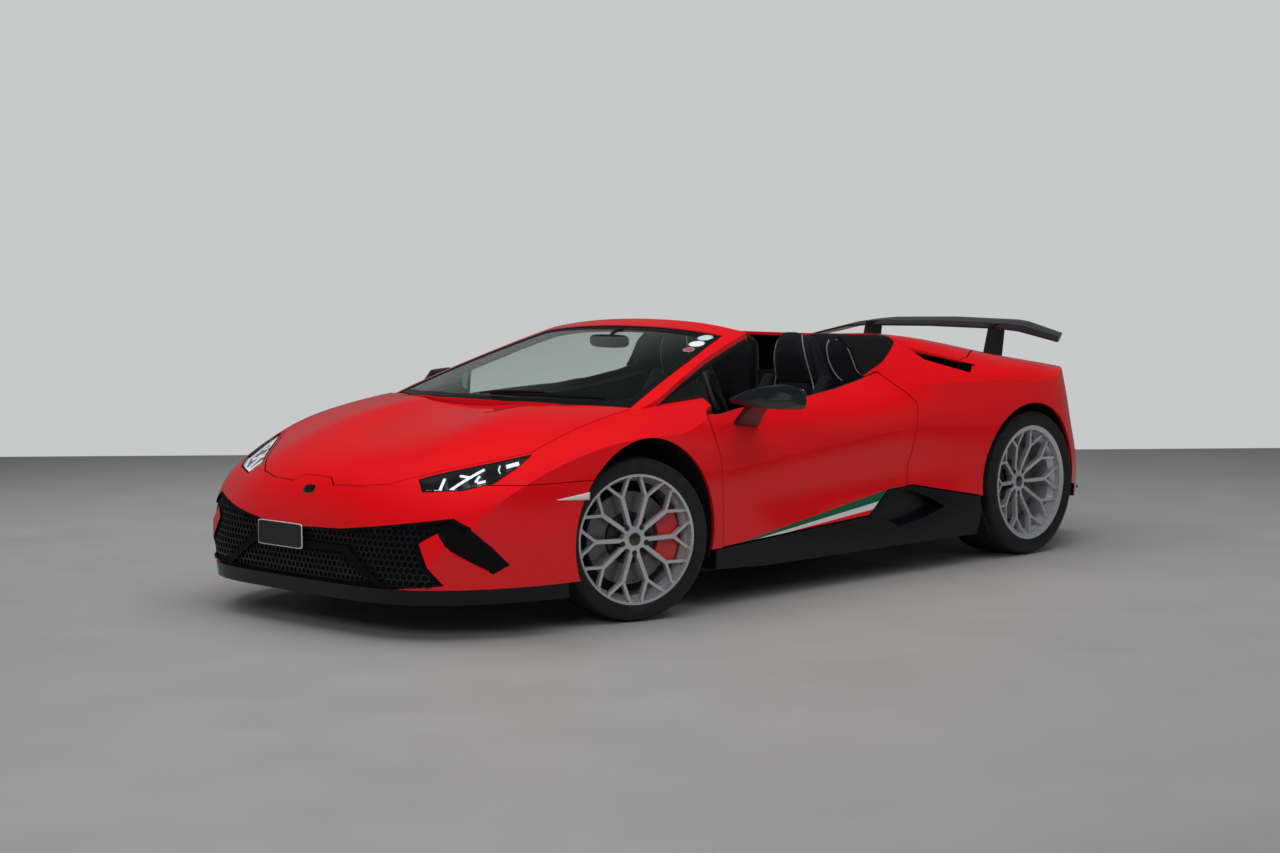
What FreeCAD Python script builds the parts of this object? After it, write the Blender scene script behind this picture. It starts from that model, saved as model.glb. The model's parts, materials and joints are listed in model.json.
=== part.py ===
import FreeCAD, Part
import Sketcher
import math
import os

# Open two-seat sports car, modelled at real size in millimetres.
# X points to the nose, Y to the left side, Z up; the origin is on the ground at mid length.

V = FreeCAD.Vector
doc = FreeCAD.newDocument("Supercar")
sheet = doc.addObject("Spreadsheet::Sheet", "Dims")

DIMENSIONS = (
    ("frontAxle", 1243, "front axle ahead of the origin"),
    ("rearAxle", 1377, "rear axle behind the origin"),
    ("bodyWidth", 1924, "width over the rear wheels, without mirrors"),
    ("frontTrack", 1668, "between the front wheel centres"),
    ("rearTrack", 1620, "between the rear wheel centres"),
    ("frontTyreRadius", 327.5, "front tyre, 245/30 on a 20-inch rim"),
    ("rearTyreRadius", 345.5, "rear tyre, 305/30 on a 20-inch rim"),
    ("frontTyreWidth", 245, "front tyre section width"),
    ("rearTyreWidth", 305, "rear tyre section width"),
    ("rimRadius", 271, "outer radius of the rim flange"),
    ("steerRest", 16.5, "degrees the front wheels are turned right as parked"),
    ("frontArchRadius", 390, "front wheel arch opening"),
    ("rearArchRadius", 379, "rear wheel arch opening"),
    ("skinThick", 14, "body panel thickness"),
    ("doorThick", 118, "whole door, skin to trim"),
    ("shutGap", 5, "gap between a moving panel and the body"),
    ("glassThick", 6, "windscreen glass"),
    ("frameDepth", 34, "windscreen frame depth"),
    ("floorHeight", 118, "underside of the tub above the ground"),
    ("floorThick", 40, "floor of the tub"),
    ("tubHalfWidth", 745, "half width of the tub at the sills"),
    ("sillTop", 330, "top of the sills"),
    ("sillWidth", 150, "width of one sill"),
    ("footwellFront", 840, "rear face of the front bulkhead"),
    ("cabinRear", 640, "front face of the rear bulkhead, behind the origin"),
    ("bulkheadThick", 60, "front and rear bulkheads"),
    ("tunnelWidth", 220, "centre tunnel"),
    ("tunnelTop", 420, "top of the centre tunnel"),
    ("seatWidth", 500, "one seat across the bolsters"),
    ("seatCentre", 365, "seat centre from the mid plane"),
    ("seatFront", 40, "front edge of the seat cushion"),
    ("seatCushion", 500, "length of the seat cushion"),
    ("seatBackHeight", 760, "seat back above its cushion"),
    ("steeringWheelRadius", 178, "steering wheel rim centre line"),
    ("engineLength", 640, "engine block along the car"),
    ("engineWidth", 620, "engine block across the car"),
    ("engineHeight", 430, "engine block height"),
    ("discRadius", 186, "brake disc"),
    ("discThick", 32, "brake disc"),
    ("exhaustRadius", 58, "one tail pipe"),
    ("wingSpan", 1580, "rear wing over its ends"),
    ("wingChord", 260, "rear wing blade"),
    ("wingHeight", 1098, "top of the rear wing at mid span"),
    ("mirrorSpan", 2236, "width over the mirrors"),
)

sheet.set("A1", "Driving dimensions, millimetres and degrees")
for row, (alias, value, note) in enumerate(DIMENSIONS, start=2):
    sheet.set("A%d" % row, alias)
    sheet.set("B%d" % row, str(value))
    sheet.set("C%d" % row, note)
    sheet.setAlias("B%d" % row, alias)
doc.recompute()


def dim(alias):
    return float(sheet.get(alias))


# The body lines were drawn with these axle places and this width.
DRAWN_FRONT_AXLE = 1243.0
DRAWN_REAR_AXLE = -1377.0
DRAWN_WIDTH = 1924.0

FRONT_AXLE = dim("frontAxle")
REAR_AXLE = -dim("rearAxle")
SIDE = dim("bodyWidth") / DRAWN_WIDTH
SKIN = dim("skinThick")
GAP = dim("shutGap")


def along(x):
    """Carries a drawn length to the real axles: ends move with their axle, the middle stretches."""
    if x > DRAWN_FRONT_AXLE:
        return FRONT_AXLE + x - DRAWN_FRONT_AXLE
    if x < DRAWN_REAR_AXLE:
        return REAR_AXLE + x - DRAWN_REAR_AXLE
    share = (x - DRAWN_REAR_AXLE) / (DRAWN_FRONT_AXLE - DRAWN_REAR_AXLE)
    return REAR_AXLE + share * (FRONT_AXLE - REAR_AXLE)


def at(x, y, z):
    return V(along(x), y * SIDE, z)


def knots(count, degree):
    spans = count - degree
    return [float(k) for k in range(spans + 1)], [degree + 1] + [1] * (spans - 1) + [degree + 1]


def cage(rows, degree=3):
    """A smooth face held by a net of poles, row by row."""
    row_knots, row_mults = knots(len(rows), degree)
    pole_knots, pole_mults = knots(len(rows[0]), degree)
    surface = Part.BSplineSurface()
    surface.buildFromPolesMultsKnots(rows, row_mults, pole_mults, row_knots, pole_knots,
                                     False, False, degree, degree)
    return surface.toShape()


def mirrored(shape):
    return shape.mirror(V(0, 0, 0), V(0, 1, 0))


def both(shape):
    return Part.makeCompound([shape, mirrored(shape)])


def prism(points, axis, low, high):
    """A closed outline in the plane across the axis, carried from low to high along it."""
    place = {"x": lambda a, b: V(low, a, b), "y": lambda a, b: V(a, low, b), "z": lambda a, b: V(a, b, low)}[axis]
    corners = [place(a, b) for a, b in points]
    way = {"x": V(1, 0, 0), "y": V(0, 1, 0), "z": V(0, 0, 1)}[axis]
    face = Part.Face(Part.makePolygon(corners + corners[:1]))
    return face.extrude(way * (high - low))


def block(x0, x1, y0, y1, z0, z1):
    return Part.makeBox(x1 - x0, y1 - y0, z1 - z0, V(x0, y0, z0))


def bar(start, end, radius):
    way = end - start
    return Part.makeCylinder(radius, way.Length, start, way)


def fused(*shapes):
    result = shapes[0].fuse(list(shapes[1:])) if len(shapes) > 1 else shapes[0]
    return result.removeSplitter()


def biggest(shape):
    return max(shape.Solids, key=lambda s: s.Volume)


def strip(start, end, width):
    way = (end - start).normalize()
    out = V(-way.y, way.x, 0) * (width / 2)
    return [start + out, end + out, end - out, start - out]


parts = []
RUNNING = 0.05


def keep(name, shape):
    """A finished sub-part: its shape, under its own label."""
    feature = doc.addObject("Part::Feature", name)
    feature.Shape = shape
    feature.Label = name
    parts.append(feature)
    return feature


# Side of the body: half plans from the tail centre round to the nose centre, bottom to top.
# Each station holds the drawn (x, y) at the heights of PLAN_HEIGHTS.
PLAN_HEIGHTS = (60, 150, 300, 450, 600, 720, 820, 960, 1250)
PLAN = (
    # tail centre
    ((-2120, 0), (-2215, 0), (-2250, 0), (-2215, 0), (-2150, 0), (-2120, 0), (-2105, 0), (-2070, 0), (-2050, 0)),
    ((-2120, 200), (-2215, 200), (-2250, 200), (-2215, 200), (-2150, 200), (-2120, 200), (-2105, 200), (-2070, 200),
     (-2050, 200)),
    ((-2090, 500), (-2190, 500), (-2215, 500), (-2185, 500), (-2110, 500), (-2085, 500), (-2070, 500), (-2040, 500),
     (-2020, 500)),
    # tail corner
    ((-1960, 760), (-2040, 760), (-2050, 765), (-2020, 765), (-1950, 750), (-1925, 745), (-1905, 740), (-1890, 730),
     (-1880, 700)),
    ((-1800, 885), (-1810, 905), (-1815, 925), (-1810, 930), (-1790, 915), (-1780, 900), (-1770, 880), (-1760, 850),
     (-1750, 800)),
    # rear wheel
    ((-1600, 930), (-1600, 945), (-1600, 957), (-1600, 962), (-1600, 965), (-1600, 962), (-1600, 945), (-1600, 915),
     (-1600, 880)),
    ((-1377, 935), (-1377, 950), (-1377, 960), (-1377, 965), (-1377, 972), (-1377, 968), (-1377, 950), (-1377, 915),
     (-1377, 880)),
    ((-1100, 930), (-1100, 948), (-1100, 955), (-1100, 955), (-1100, 958), (-1100, 950), (-1100, 925), (-1100, 890),
     (-1100, 860)),
    ((-860, 925), (-860, 940), (-860, 935), (-860, 928), (-860, 935), (-860, 925), (-860, 895), (-860, 880),
     (-860, 850)),
    ((-640, 925), (-640, 935), (-640, 918), (-640, 902), (-640, 916), (-640, 912), (-640, 880), (-640, 800),
     (-640, 700)),
    # door
    ((-380, 925), (-380, 930), (-380, 913), (-380, 893), (-380, 908), (-380, 905), (-380, 830), (-380, 660),
     (-380, 560)),
    ((-60, 925), (-60, 930), (-60, 915), (-60, 897), (-60, 912), (-60, 898), (-60, 815), (-60, 650), (-60, 550)),
    ((280, 925), (280, 930), (280, 920), (280, 905), (280, 918), (280, 890), (280, 812), (280, 660), (280, 560)),
    ((580, 925), (580, 930), (580, 928), (580, 915), (580, 922), (580, 885), (580, 815), (580, 680), (580, 580)),
    # front wheel
    ((840, 930), (840, 935), (840, 942), (840, 945), (840, 945), (840, 905), (840, 840), (840, 740), (840, 700)),
    ((1060, 930), (1060, 938), (1060, 948), (1060, 955), (1060, 962), (1060, 945), (1060, 905), (1060, 860),
     (1060, 820)),
    ((1300, 930), (1300, 938), (1300, 950), (1300, 960), (1300, 970), (1300, 960), (1300, 930), (1300, 900),
     (1300, 880)),
    ((1540, 930), (1540, 936), (1540, 944), (1540, 952), (1540, 956), (1540, 940), (1540, 910), (1540, 880),
     (1540, 860)),
    ((1760, 905), (1760, 912), (1760, 918), (1760, 920), (1760, 910), (1760, 900), (1760, 890), (1760, 880),
     (1760, 860)),
    # nose corner
    ((1960, 820), (1960, 835), (1960, 850), (1985, 860), (1985, 855), (1985, 850), (1985, 840), (1985, 830),
     (1985, 820)),
    ((2110, 700), (2120, 715), (2130, 730), (2160, 760), (2170, 760), (2170, 760), (2170, 760), (2170, 760),
     (2170, 760)),
    ((2215, 560), (2235, 560), (2240, 560), (2260, 580), (2270, 580), (2270, 580), (2270, 580), (2270, 580),
     (2270, 580)),
    ((2240, 300), (2262, 300), (2265, 300), (2280, 300), (2290, 300), (2290, 300), (2290, 300), (2290, 300),
     (2290, 300)),
    # nose centre
    ((2240, 0), (2262, 0), (2265, 0), (2280, 0), (2290, 0), (2290, 0), (2290, 0), (2290, 0), (2290, 0)),
)


def plan_row(level, inset):
    """One closed plan of the body, moved inward by the inset."""
    half = [at(station[level][0], station[level][1], PLAN_HEIGHTS[level]) for station in PLAN]
    moved = []
    last = len(half) - 1
    for i, point in enumerate(half):
        if i in (0, last):
            moved.append(point + V(inset if i == 0 else -inset, 0, 0))
            continue
        run = half[min(i + 1, last)] - half[i - 1]
        inward = V(run.y, -run.x, 0)
        inward.normalize()
        if i in (1, last - 1):
            inward = V(1 if i == 1 else -1, 0, 0)
        moved.append(point + inward * inset)
    right = [V(p.x, -p.y, p.z) for p in reversed(moved[:-1])]
    return moved + right


def plan_solid(inset, drop=0.0):
    rows = []
    for level in range(len(PLAN_HEIGHTS)):
        row = plan_row(level, inset)
        if level == 0:
            row = [p - V(0, 0, drop) for p in row]
        rows.append(row)
    wall = cage(rows)
    caps = [Part.Face(Part.Wire(edge)) for edge in wall.Edges
            if edge.isClosed() and edge.BoundBox.ZLength < 0.001]
    shell = Part.makeShell([wall] + caps)
    shell.sewShape()
    solid = Part.makeSolid(shell)
    if solid.Volume < 0:
        solid.reverse()
    return solid


def under(columns, drop=1600):
    """The space below a top face whose poles run from the centre line out to one side."""
    rows = []
    for line in zip(*columns):
        left = [at(*p) for p in line]
        right = [V(p.x, -p.y, p.z) for p in reversed(left[1:])]
        rows.append(right + left)
    return cage(rows).extrude(V(0, 0, -drop))


# Front top: lines from the windscreen to the nose, from the centre line outward.
FRONT_TOP = (
    ((600, 0, 905), (900, 0, 875), (1150, 0, 848), (1350, 0, 826), (1600, 0, 772), (1850, 0, 708), (2040, 0, 645),
     (2150, 0, 585), (2215, 0, 480), (2235, 0, 380), (2245, 0, 250)),
    ((600, 170, 905), (900, 170, 876), (1150, 170, 850), (1350, 180, 828), (1600, 190, 775), (1850, 200, 710),
     (2035, 200, 645), (2145, 200, 580), (2210, 200, 478), (2232, 200, 380), (2242, 200, 250)),
    ((600, 240, 905), (900, 250, 882), (1150, 280, 858), (1350, 315, 842), (1600, 365, 792), (1850, 430, 712),
     (2010, 420, 640), (2120, 400, 565), (2192, 390, 470), (2220, 390, 380), (2235, 390, 250)),
    ((600, 330, 905), (900, 340, 880), (1150, 370, 858), (1350, 410, 838), (1600, 470, 782), (1850, 530, 690),
     (1980, 540, 622), (2080, 550, 550), (2150, 560, 460), (2190, 560, 370), (2210, 560, 250)),
    ((600, 700, 890), (900, 720, 868), (1120, 740, 850), (1349, 750, 806), (1560, 720, 760), (1760, 680, 690),
     (1920, 690, 610), (2030, 700, 545), (2100, 710, 450), (2130, 715, 360), (2150, 720, 250)),
    ((600, 800, 850), (900, 800, 825), (1120, 810, 822), (1349, 820, 796), (1560, 810, 750), (1740, 800, 680),
     (1880, 810, 600), (1985, 830, 540), (2040, 840, 440), (2065, 840, 350), (2080, 840, 250)),
    ((600, 880, 770), (900, 880, 760), (1120, 885, 775), (1330, 890, 775), (1540, 885, 738), (1700, 885, 672),
     (1820, 890, 600), (1900, 895, 540), (1950, 900, 440), (1970, 900, 350), (1985, 900, 250)),
    ((600, 1010, 640), (900, 1010, 640), (1120, 1010, 680), (1320, 1010, 690), (1520, 1010, 650), (1660, 1010, 600),
     (1760, 1010, 550), (1830, 1010, 500), (1880, 1010, 430), (1900, 1010, 340), (1915, 1010, 250)),
)

# Rear top: lines from behind the seats to the tail.
REAR_TOP = (
    ((-300, 0, 1085), (-560, 0, 1075), (-760, 0, 1050), (-1000, 0, 1010), (-1250, 0, 965), (-1500, 0, 920),
     (-1750, 0, 885), (-2000, 0, 850), (-2300, 0, 810)),
    ((-300, 330, 1085), (-560, 330, 1075), (-760, 330, 1050), (-1000, 330, 1010), (-1250, 330, 965),
     (-1500, 330, 920), (-1750, 330, 885), (-2000, 330, 850), (-2300, 330, 810)),
    ((-300, 520, 1085), (-560, 520, 1082), (-760, 520, 1062), (-1000, 520, 1028), (-1250, 520, 985),
     (-1500, 520, 938), (-1750, 520, 900), (-2000, 520, 862), (-2300, 520, 815)),
    ((-300, 650, 1060), (-560, 655, 1075), (-760, 660, 1066), (-1000, 660, 1035), (-1250, 680, 985),
     (-1500, 700, 935), (-1750, 700, 900), (-2000, 700, 858), (-2300, 700, 810)),
    ((-300, 740, 905), (-560, 740, 975), (-760, 745, 1000), (-1000, 770, 965), (-1250, 790, 942),
     (-1500, 800, 920), (-1750, 800, 890), (-2000, 800, 850), (-2300, 800, 800)),
    ((-300, 830, 790), (-560, 840, 850), (-760, 860, 880), (-1000, 880, 885), (-1250, 890, 895), (-1500, 890, 885),
     (-1750, 890, 860), (-2000, 890, 820), (-2300, 890, 780)),
    ((-300, 900, 730), (-560, 905, 760), (-760, 915, 800), (-1000, 930, 820), (-1250, 945, 835), (-1500, 945, 835),
     (-1750, 945, 810), (-2000, 945, 780), (-2300, 945, 740)),
    ((-300, 1020, 600), (-560, 1020, 640), (-760, 1020, 680), (-1000, 1020, 710), (-1250, 1020, 720),
     (-1500, 1020, 720), (-1750, 1020, 700), (-2000, 1020, 680), (-2300, 1020, 660)),
)

outer = plan_solid(0)
inner = plan_solid(SKIN, 40)
front_top = under(FRONT_TOP)
rear_top = under(REAR_TOP)
down = V(0, 0, -SKIN / 0.94)


def moved(shape, way):
    copy = shape.copy()
    copy.translate(way)
    return copy


front_body = outer.common(front_top)
rear_body = outer.common(rear_top)
front_inner = inner.common(moved(front_top, down))
rear_inner = inner.common(moved(rear_top, down))
front_shell = front_body.cut(front_inner)
rear_shell = rear_body.cut(rear_inner)


def plan_outline(points):
    return [(along(x), y * SIDE) for x, y in points]


def side_outline(points):
    return [(along(x), z) for x, z in points]


def front_outline(points):
    return [(y * SIDE, z) for y, z in points]


def symmetric(points):
    return points + [(x, -y) for x, y in reversed(points) if abs(y) > 0.001]


def grown(points, extra):
    """The same closed outline, each side moved outward by the extra and met again at its corners."""
    turn = sum(a[0] * b[1] - b[0] * a[1] for a, b in zip(points, points[1:] + points[:1]))
    way = 1 if turn > 0 else -1
    result = []
    for before, corner, after in zip(points[-1:] + points[:-1], points, points[1:] + points[:1]):
        first = V(corner[1] - before[1], before[0] - corner[0], 0).normalize() * way
        second = V(after[1] - corner[1], corner[0] - after[0], 0).normalize() * way
        mitre = (first + second) * (extra / (1 + first.dot(second)))
        result.append((corner[0] + mitre.x, corner[1] + mitre.y))
    return result


# Openings in the front shell
HOOD = symmetric(plan_outline([(1350, 0), (1340, 225), (1266, 512), (1136, 765), (1349, 782), (1560, 790),
                               (1700, 783), (2010, 500), (2040, 462), (2090, 400), (2130, 280), (2150, 130),
                               (2126, 84), (2126, 0)]))
LAMP = plan_outline([(1712, 797), (2032, 505), (2062, 560), (1985, 712), (1905, 790), (1780, 806)])
MOUTH = front_outline([(0, 396), (250, 404), (450, 427), (620, 450), (742, 468), (812, 436), (846, 356), (868, 285),
                       (838, 252), (735, 214), (560, 196), (0, 186)])
FIN = front_outline([(698, 410), (640, 372), (735, 200), (850, 240)])
FRONT_ARCH = V(FRONT_AXLE - 19, 0, dim("frontTyreRadius") + 10)
REAR_ARCH = V(REAR_AXLE, 0, dim("rearTyreRadius"))
ARCH_INSIDE = 535
TOP = 1400
GLASS = symmetric(plan_outline([(1322, 0), (1312, 220), (1240, 500), (1112, 738), (640, 628), (352, 548),
                                (362, 300), (366, 0)]))
SCREEN_FRAME = symmetric(plan_outline([(1326, 0), (1316, 220), (1244, 500), (1122, 778), (980, 772), (600, 668),
                                       (262, 606), (252, 300), (250, 0)]))
PANEL_SEAM = 3
SEATED = 0.3


def arch(centre, radius, inside=ARCH_INSIDE):
    start = V(centre.x, inside, centre.z)
    return both(Part.makeCylinder(radius, 1200 - inside, start, V(0, 1, 0)))


front_arch = arch(FRONT_ARCH, dim("frontArchRadius"))
rear_arch = arch(REAR_ARCH, dim("rearArchRadius"))
hood_prism = prism(HOOD, "z", 500, TOP)
hood_clear = prism(grown(HOOD, GAP), "z", 480, TOP)
lamp_prism = both(prism(LAMP, "z", 440, 760))
lamp_clear = both(prism(grown(LAMP, 2), "z", 440, 760))
fins = both(prism(FIN, "x", along(1600), along(2500)))
MOUTH_LINE = MOUTH + [(-y, z) for y, z in reversed(MOUTH) if y > 0]
mouth = prism(MOUTH_LINE, "x", along(1700), along(2400)).cut(fins)

# Door: hinge line just inside the skin, a front edge round it, and a rear cut leaning forward above
HINGE_X = along(716)
HINGE_Y = 893 * SIDE
HINGE_REACH = 72
DOOR = side_outline([(870, 246), (-200, 292), (-346, 392), (-480, 398), (-487, 499), (-515, 570), (-543, 655),
                     (-573, 769), (-440, 905), (-300, 874), (-136, 849), (78, 827), (330, 815), (550, 802),
                     (700, 786), (870, 800)])
hinge_drum = Part.makeCylinder(HINGE_REACH, TOP, V(HINGE_X, HINGE_Y, 60))
hinge_hollow = Part.makeCylinder(HINGE_REACH + GAP, TOP, V(HINGE_X, HINGE_Y, 60))
door_inner = plan_solid(dim("doorThick"), 60)
behind_hinge = block(along(-900), HINGE_X, 300, 1300, 60, TOP)
door_side = prism(DOOR, "y", 300, 1300)
door_skin = outer.cut(inner).common(door_side).common(hinge_drum.fuse(behind_hinge))
DOOR_INSET = 34
door_core = inner.cut(door_inner).common(prism(grown(DOOR, -DOOR_INSET), "y", 300, 1300))
door_core = door_core.common(behind_hinge)
door_left = biggest(fused(biggest(door_skin), biggest(door_core)))
door_right = mirrored(door_left)
door_clear = prism(grown(DOOR, GAP), "y", 300, 1300)

# Front panels
FRONT_PANEL_BOTTOM = 196
BUMPER = side_outline([(1480, FRONT_PANEL_BOTTOM), (2500, FRONT_PANEL_BOTTOM), (2500, 760), (2004, 760), (1975, 583),
                       (1480, 583)])
SILL_LINE = 245
bumper_zone = prism(BUMPER, "y", -1300, 1300)
bumper = biggest(front_shell.common(bumper_zone).cut(hood_clear).cut(lamp_clear).cut(front_arch).cut(mouth))

fender_zone = block(along(716), along(2100), 0, 1300, SILL_LINE, TOP).cut(
    block(along(500), along(1500), -10, 752 * SIDE, 0, TOP))
fender_zone = fender_zone.cut(prism(grown(SCREEN_FRAME, PANEL_SEAM), "z", 500, TOP))
fender = front_shell.common(fender_zone).cut(prism(grown(BUMPER, PANEL_SEAM), "y", -1300, 1300))
fender = fender.cut(hood_clear).cut(lamp_clear).cut(front_arch).cut(hinge_hollow)
fender = biggest(fender)

HOOD_FRAME = 30
hood_skin = front_shell.common(hood_prism)
hood_frame = front_inner.cut(moved(front_inner, V(0, 0, -HOOD_FRAME))).common(
    prism(grown(HOOD, -26), "z", 480, TOP))
hood = biggest(fused(biggest(hood_skin), biggest(hood_frame)))

LAMP_DEPTH = 64
lamp = front_body.common(lamp_prism).cut(moved(front_top, V(0, 0, -LAMP_DEPTH)))

INSERT_RECESS, INSERT_THICK = 12, 30
SURROUND_WIDTH, SURROUND_DEEP = 12, 45
RAILS = front_outline([(-520, 196), (-290, 342), (290, 342), (520, 196), (478, 196), (272, 316), (-272, 316),
                       (-478, 196)])


nose = front_body.common(block(along(1640), along(2400), -890 * SIDE, 890 * SIDE, 120, 640))


def nose_layer(area, near, far):
    """The part of the nose within an area, between two distances behind its face."""
    return moved(nose.common(area), V(-near, 0, 0)).cut(moved(nose, V(-far, 0, 0)))


mouth_edge = mouth.cut(prism(grown(MOUTH_LINE, -SURROUND_WIDTH), "x", along(1700), along(2400)))
rails_face = prism(RAILS, "x", along(1700), along(2400)).common(mouth)
insert = fused(nose_layer(mouth, INSERT_RECESS, INSERT_RECESS + INSERT_THICK),
               nose_layer(mouth_edge, 0, SURROUND_DEEP), nose_layer(rails_face, 0, SURROUND_DEEP))
SPLITTER_BOTTOM = 138
splitter = outer.common(block(along(1640), along(2400), -1300, 1300, SPLITTER_BOTTOM, FRONT_PANEL_BOTTOM))
splitter = splitter.cut(inner.common(block(along(1500), along(2400), -1300, 1300, SPLITTER_BOTTOM + 24, 400)))
splitter = biggest(splitter.cut(front_arch))

# Windscreen: one curved face, glass inside a red frame
SCREEN = (
    ((1500, 0, 790), (1200, 0, 893), (900, 0, 988), (600, 0, 1068), (300, 0, 1148), (150, 0, 1175)),
    ((1500, 300, 780), (1200, 300, 885), (900, 300, 980), (600, 300, 1060), (300, 300, 1140), (150, 300, 1167)),
    ((1500, 550, 740), (1200, 550, 850), (900, 550, 945), (600, 550, 1030), (300, 550, 1112), (150, 550, 1140)),
    ((1500, 700, 700), (1200, 700, 815), (900, 700, 912), (600, 700, 1000), (300, 700, 1082), (150, 700, 1110)),
    ((1500, 900, 640), (1200, 900, 760), (900, 900, 860), (600, 900, 950), (300, 900, 1035), (150, 900, 1065)),
)
screen_top = under(SCREEN)
frame_depth = dim("frameDepth")
screen_slab = screen_top.cut(moved(screen_top, V(0, 0, -frame_depth)))
screen_frame = screen_slab.common(prism(SCREEN_FRAME, "z", 500, TOP)).cut(prism(GLASS, "z", 500, TOP))
glass_in = moved(screen_top, V(0, 0, -4))
glass = glass_in.cut(moved(glass_in, V(0, 0, -dim("glassThick"))))
glass = biggest(glass.common(prism(GLASS, "z", 500, TOP)))

# Rear panels
LID = symmetric(plan_outline([(-655, 0), (-650, 600), (-715, 725), (-1010, 800), (-1085, 785), (-1300, 668),
                              (-1420, 632), (-1580, 632), (-1660, 600), (-1690, 300), (-1690, 0)]))
lid_prism = prism(LID, "z", 700, TOP)
lid_clear = prism(grown(LID, GAP), "z", 680, TOP)
LOUVRE_FIRST, LOUVRE_STEP, LOUVRE_COUNT, LOUVRE_LONG = -800, 120, 5, 42
LOUVRE_IN, LOUVRE_OUT = 150, 430
louvres = [both(block(along(LOUVRE_FIRST - LOUVRE_STEP * number) - LOUVRE_LONG,
                      along(LOUVRE_FIRST - LOUVRE_STEP * number), LOUVRE_IN, LOUVRE_OUT, 700, TOP))
           for number in range(LOUVRE_COUNT)]
lid = rear_shell.common(lid_prism).cut(louvres)
TAIL_SEAM = along(-1815)
TAIL_BOTTOM = 240
QUARTER_BOTTOM = side_outline([(-360, 396), (-520, 402), (-990, 316), (-1100, 250), (-1500, 250), (-1640, 330),
                               (-1815, 300), (-1815, TOP), (-360, TOP)])
quarter = rear_shell.common(prism(QUARTER_BOTTOM, "y", 0, 1300)).cut(lid_clear).cut(rear_arch).cut(door_clear)
quarter = quarter.cut(block(along(-700), along(0), -1300, 600, 60, TOP))
quarter = quarter.cut(block(along(-1815), along(-1500), -1300, 560, 60, TOP))
SHOULDER_SLOT = side_outline([(-715, 1000), (-1080, 915), (-1010, 878), (-764, 950)])
quarter = biggest(quarter.cut(prism(SHOULDER_SLOT, "y", 700, 1000)))
deck = rear_shell.common(block(along(-1815), along(-1600), -556, 556, 700, TOP)).cut(lid_clear)
deck = biggest(deck)
tail = rear_shell.common(block(along(-2400), TAIL_SEAM - PANEL_SEAM, -1300, 1300, TAIL_BOTTOM, TOP))
TAIL_GRILLE = front_outline([(0, 800), (640, 800), (720, 740), (700, 560), (560, 520), (500, 400), (0, 400)])
tail_hole = prism(TAIL_GRILLE + [(-y, z) for y, z in reversed(TAIL_GRILLE) if y > 0], "x", along(-2500),
                  along(-1900))
tail = biggest(tail.cut(tail_hole))
PLATE_THICK = 26
PLATE_LAP = 15
tail_plate = rear_inner.cut(moved(rear_inner, V(PLATE_THICK, 0, 0)))
plate_outline = grown(TAIL_GRILLE + [(-y, z) for y, z in reversed(TAIL_GRILLE) if y > 0], PLATE_LAP)
tail_plate = biggest(tail_plate.common(prism(plate_outline, "x", along(-2500), along(-1900))))

EXHAUST_Y = 118
EXHAUST_Z = 580


# Structure under the skin, as boxes whose corners are written in the sheet's terms
def box(name, x0, x1, y0, y1, z0, z1):
    """A box between two corners, each side an expression of the sheet."""
    item = doc.addObject("Part::Box", name)
    item.setExpression("Length", "(%s) - (%s)" % (x1, x0))
    item.setExpression("Width", "(%s) - (%s)" % (y1, y0))
    item.setExpression("Height", "(%s) - (%s)" % (z1, z0))
    for axis, low in zip("xyz", (x0, y0, z0)):
        item.setExpression("Placement.Base." + axis, low)
    return item


def pair(name, x0, x1, y0, y1, z0, z1):
    """The same box on the left and on the right."""
    return [box(name + "_left", x0, x1, y0, y1, z0, z1),
            box(name + "_right", x0, x1, "-(%s)" % y1, "-(%s)" % y0, z0, z1)]


def rod(name, x, y, z, radius, height):
    item = doc.addObject("Part::Cylinder", name)
    item.setExpression("Radius", radius)
    item.setExpression("Height", height)
    for axis, low in zip("xyz", (x, y, z)):
        item.setExpression("Placement.Base." + axis, low)
    return item


def rods(name, x, y, z, radius, height):
    return [rod(name + "_left", x, y, z, radius, height), rod(name + "_right", x, "-(%s)" % y, z, radius, height)]


def joined(name, items):
    whole = doc.addObject("Part::MultiFuse", name)
    whole.Shapes = items
    whole.Refine = True
    return whole


FLOOR_TOP = "Dims.floorHeight + Dims.floorThick"
BULKHEAD_FRONT = "Dims.footwellFront + Dims.bulkheadThick"
CABIN_BACK = "-Dims.cabinRear - Dims.bulkheadThick"
HINGE_SPOTS = (340, 600)
PIN = 8
tub_items = [box("floor", CABIN_BACK, BULKHEAD_FRONT, "-520", "520", "Dims.floorHeight", FLOOR_TOP),
             box("tunnel", "-Dims.cabinRear", "Dims.footwellFront", "-Dims.tunnelWidth / 2", "Dims.tunnelWidth / 2",
                 FLOOR_TOP, "Dims.tunnelTop"),
             box("front_bulkhead", "Dims.footwellFront", BULKHEAD_FRONT, "-520", "520", FLOOR_TOP, "770"),
             box("rear_bulkhead", CABIN_BACK, "-Dims.cabinRear", "-Dims.tubHalfWidth", "Dims.tubHalfWidth",
                 FLOOR_TOP, "880")]
tub_items += pair("floor_side", CABIN_BACK, "Dims.frontAxle - 423", "520", "Dims.tubHalfWidth", "Dims.floorHeight",
                  FLOOR_TOP)
tub_items += pair("sill", CABIN_BACK, "Dims.frontAxle - 423", "Dims.tubHalfWidth - Dims.sillWidth",
                  "Dims.tubHalfWidth", FLOOR_TOP, "Dims.sillTop")
tub_items += pair("footwell_side", "Dims.frontAxle - 473", "Dims.frontAxle - 423", "520", "Dims.tubHalfWidth",
                  FLOOR_TOP, "770")
tub_items += pair("footwell_return", "Dims.frontAxle - 443", BULKHEAD_FRONT, "500", "520", FLOOR_TOP, "770")
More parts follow.
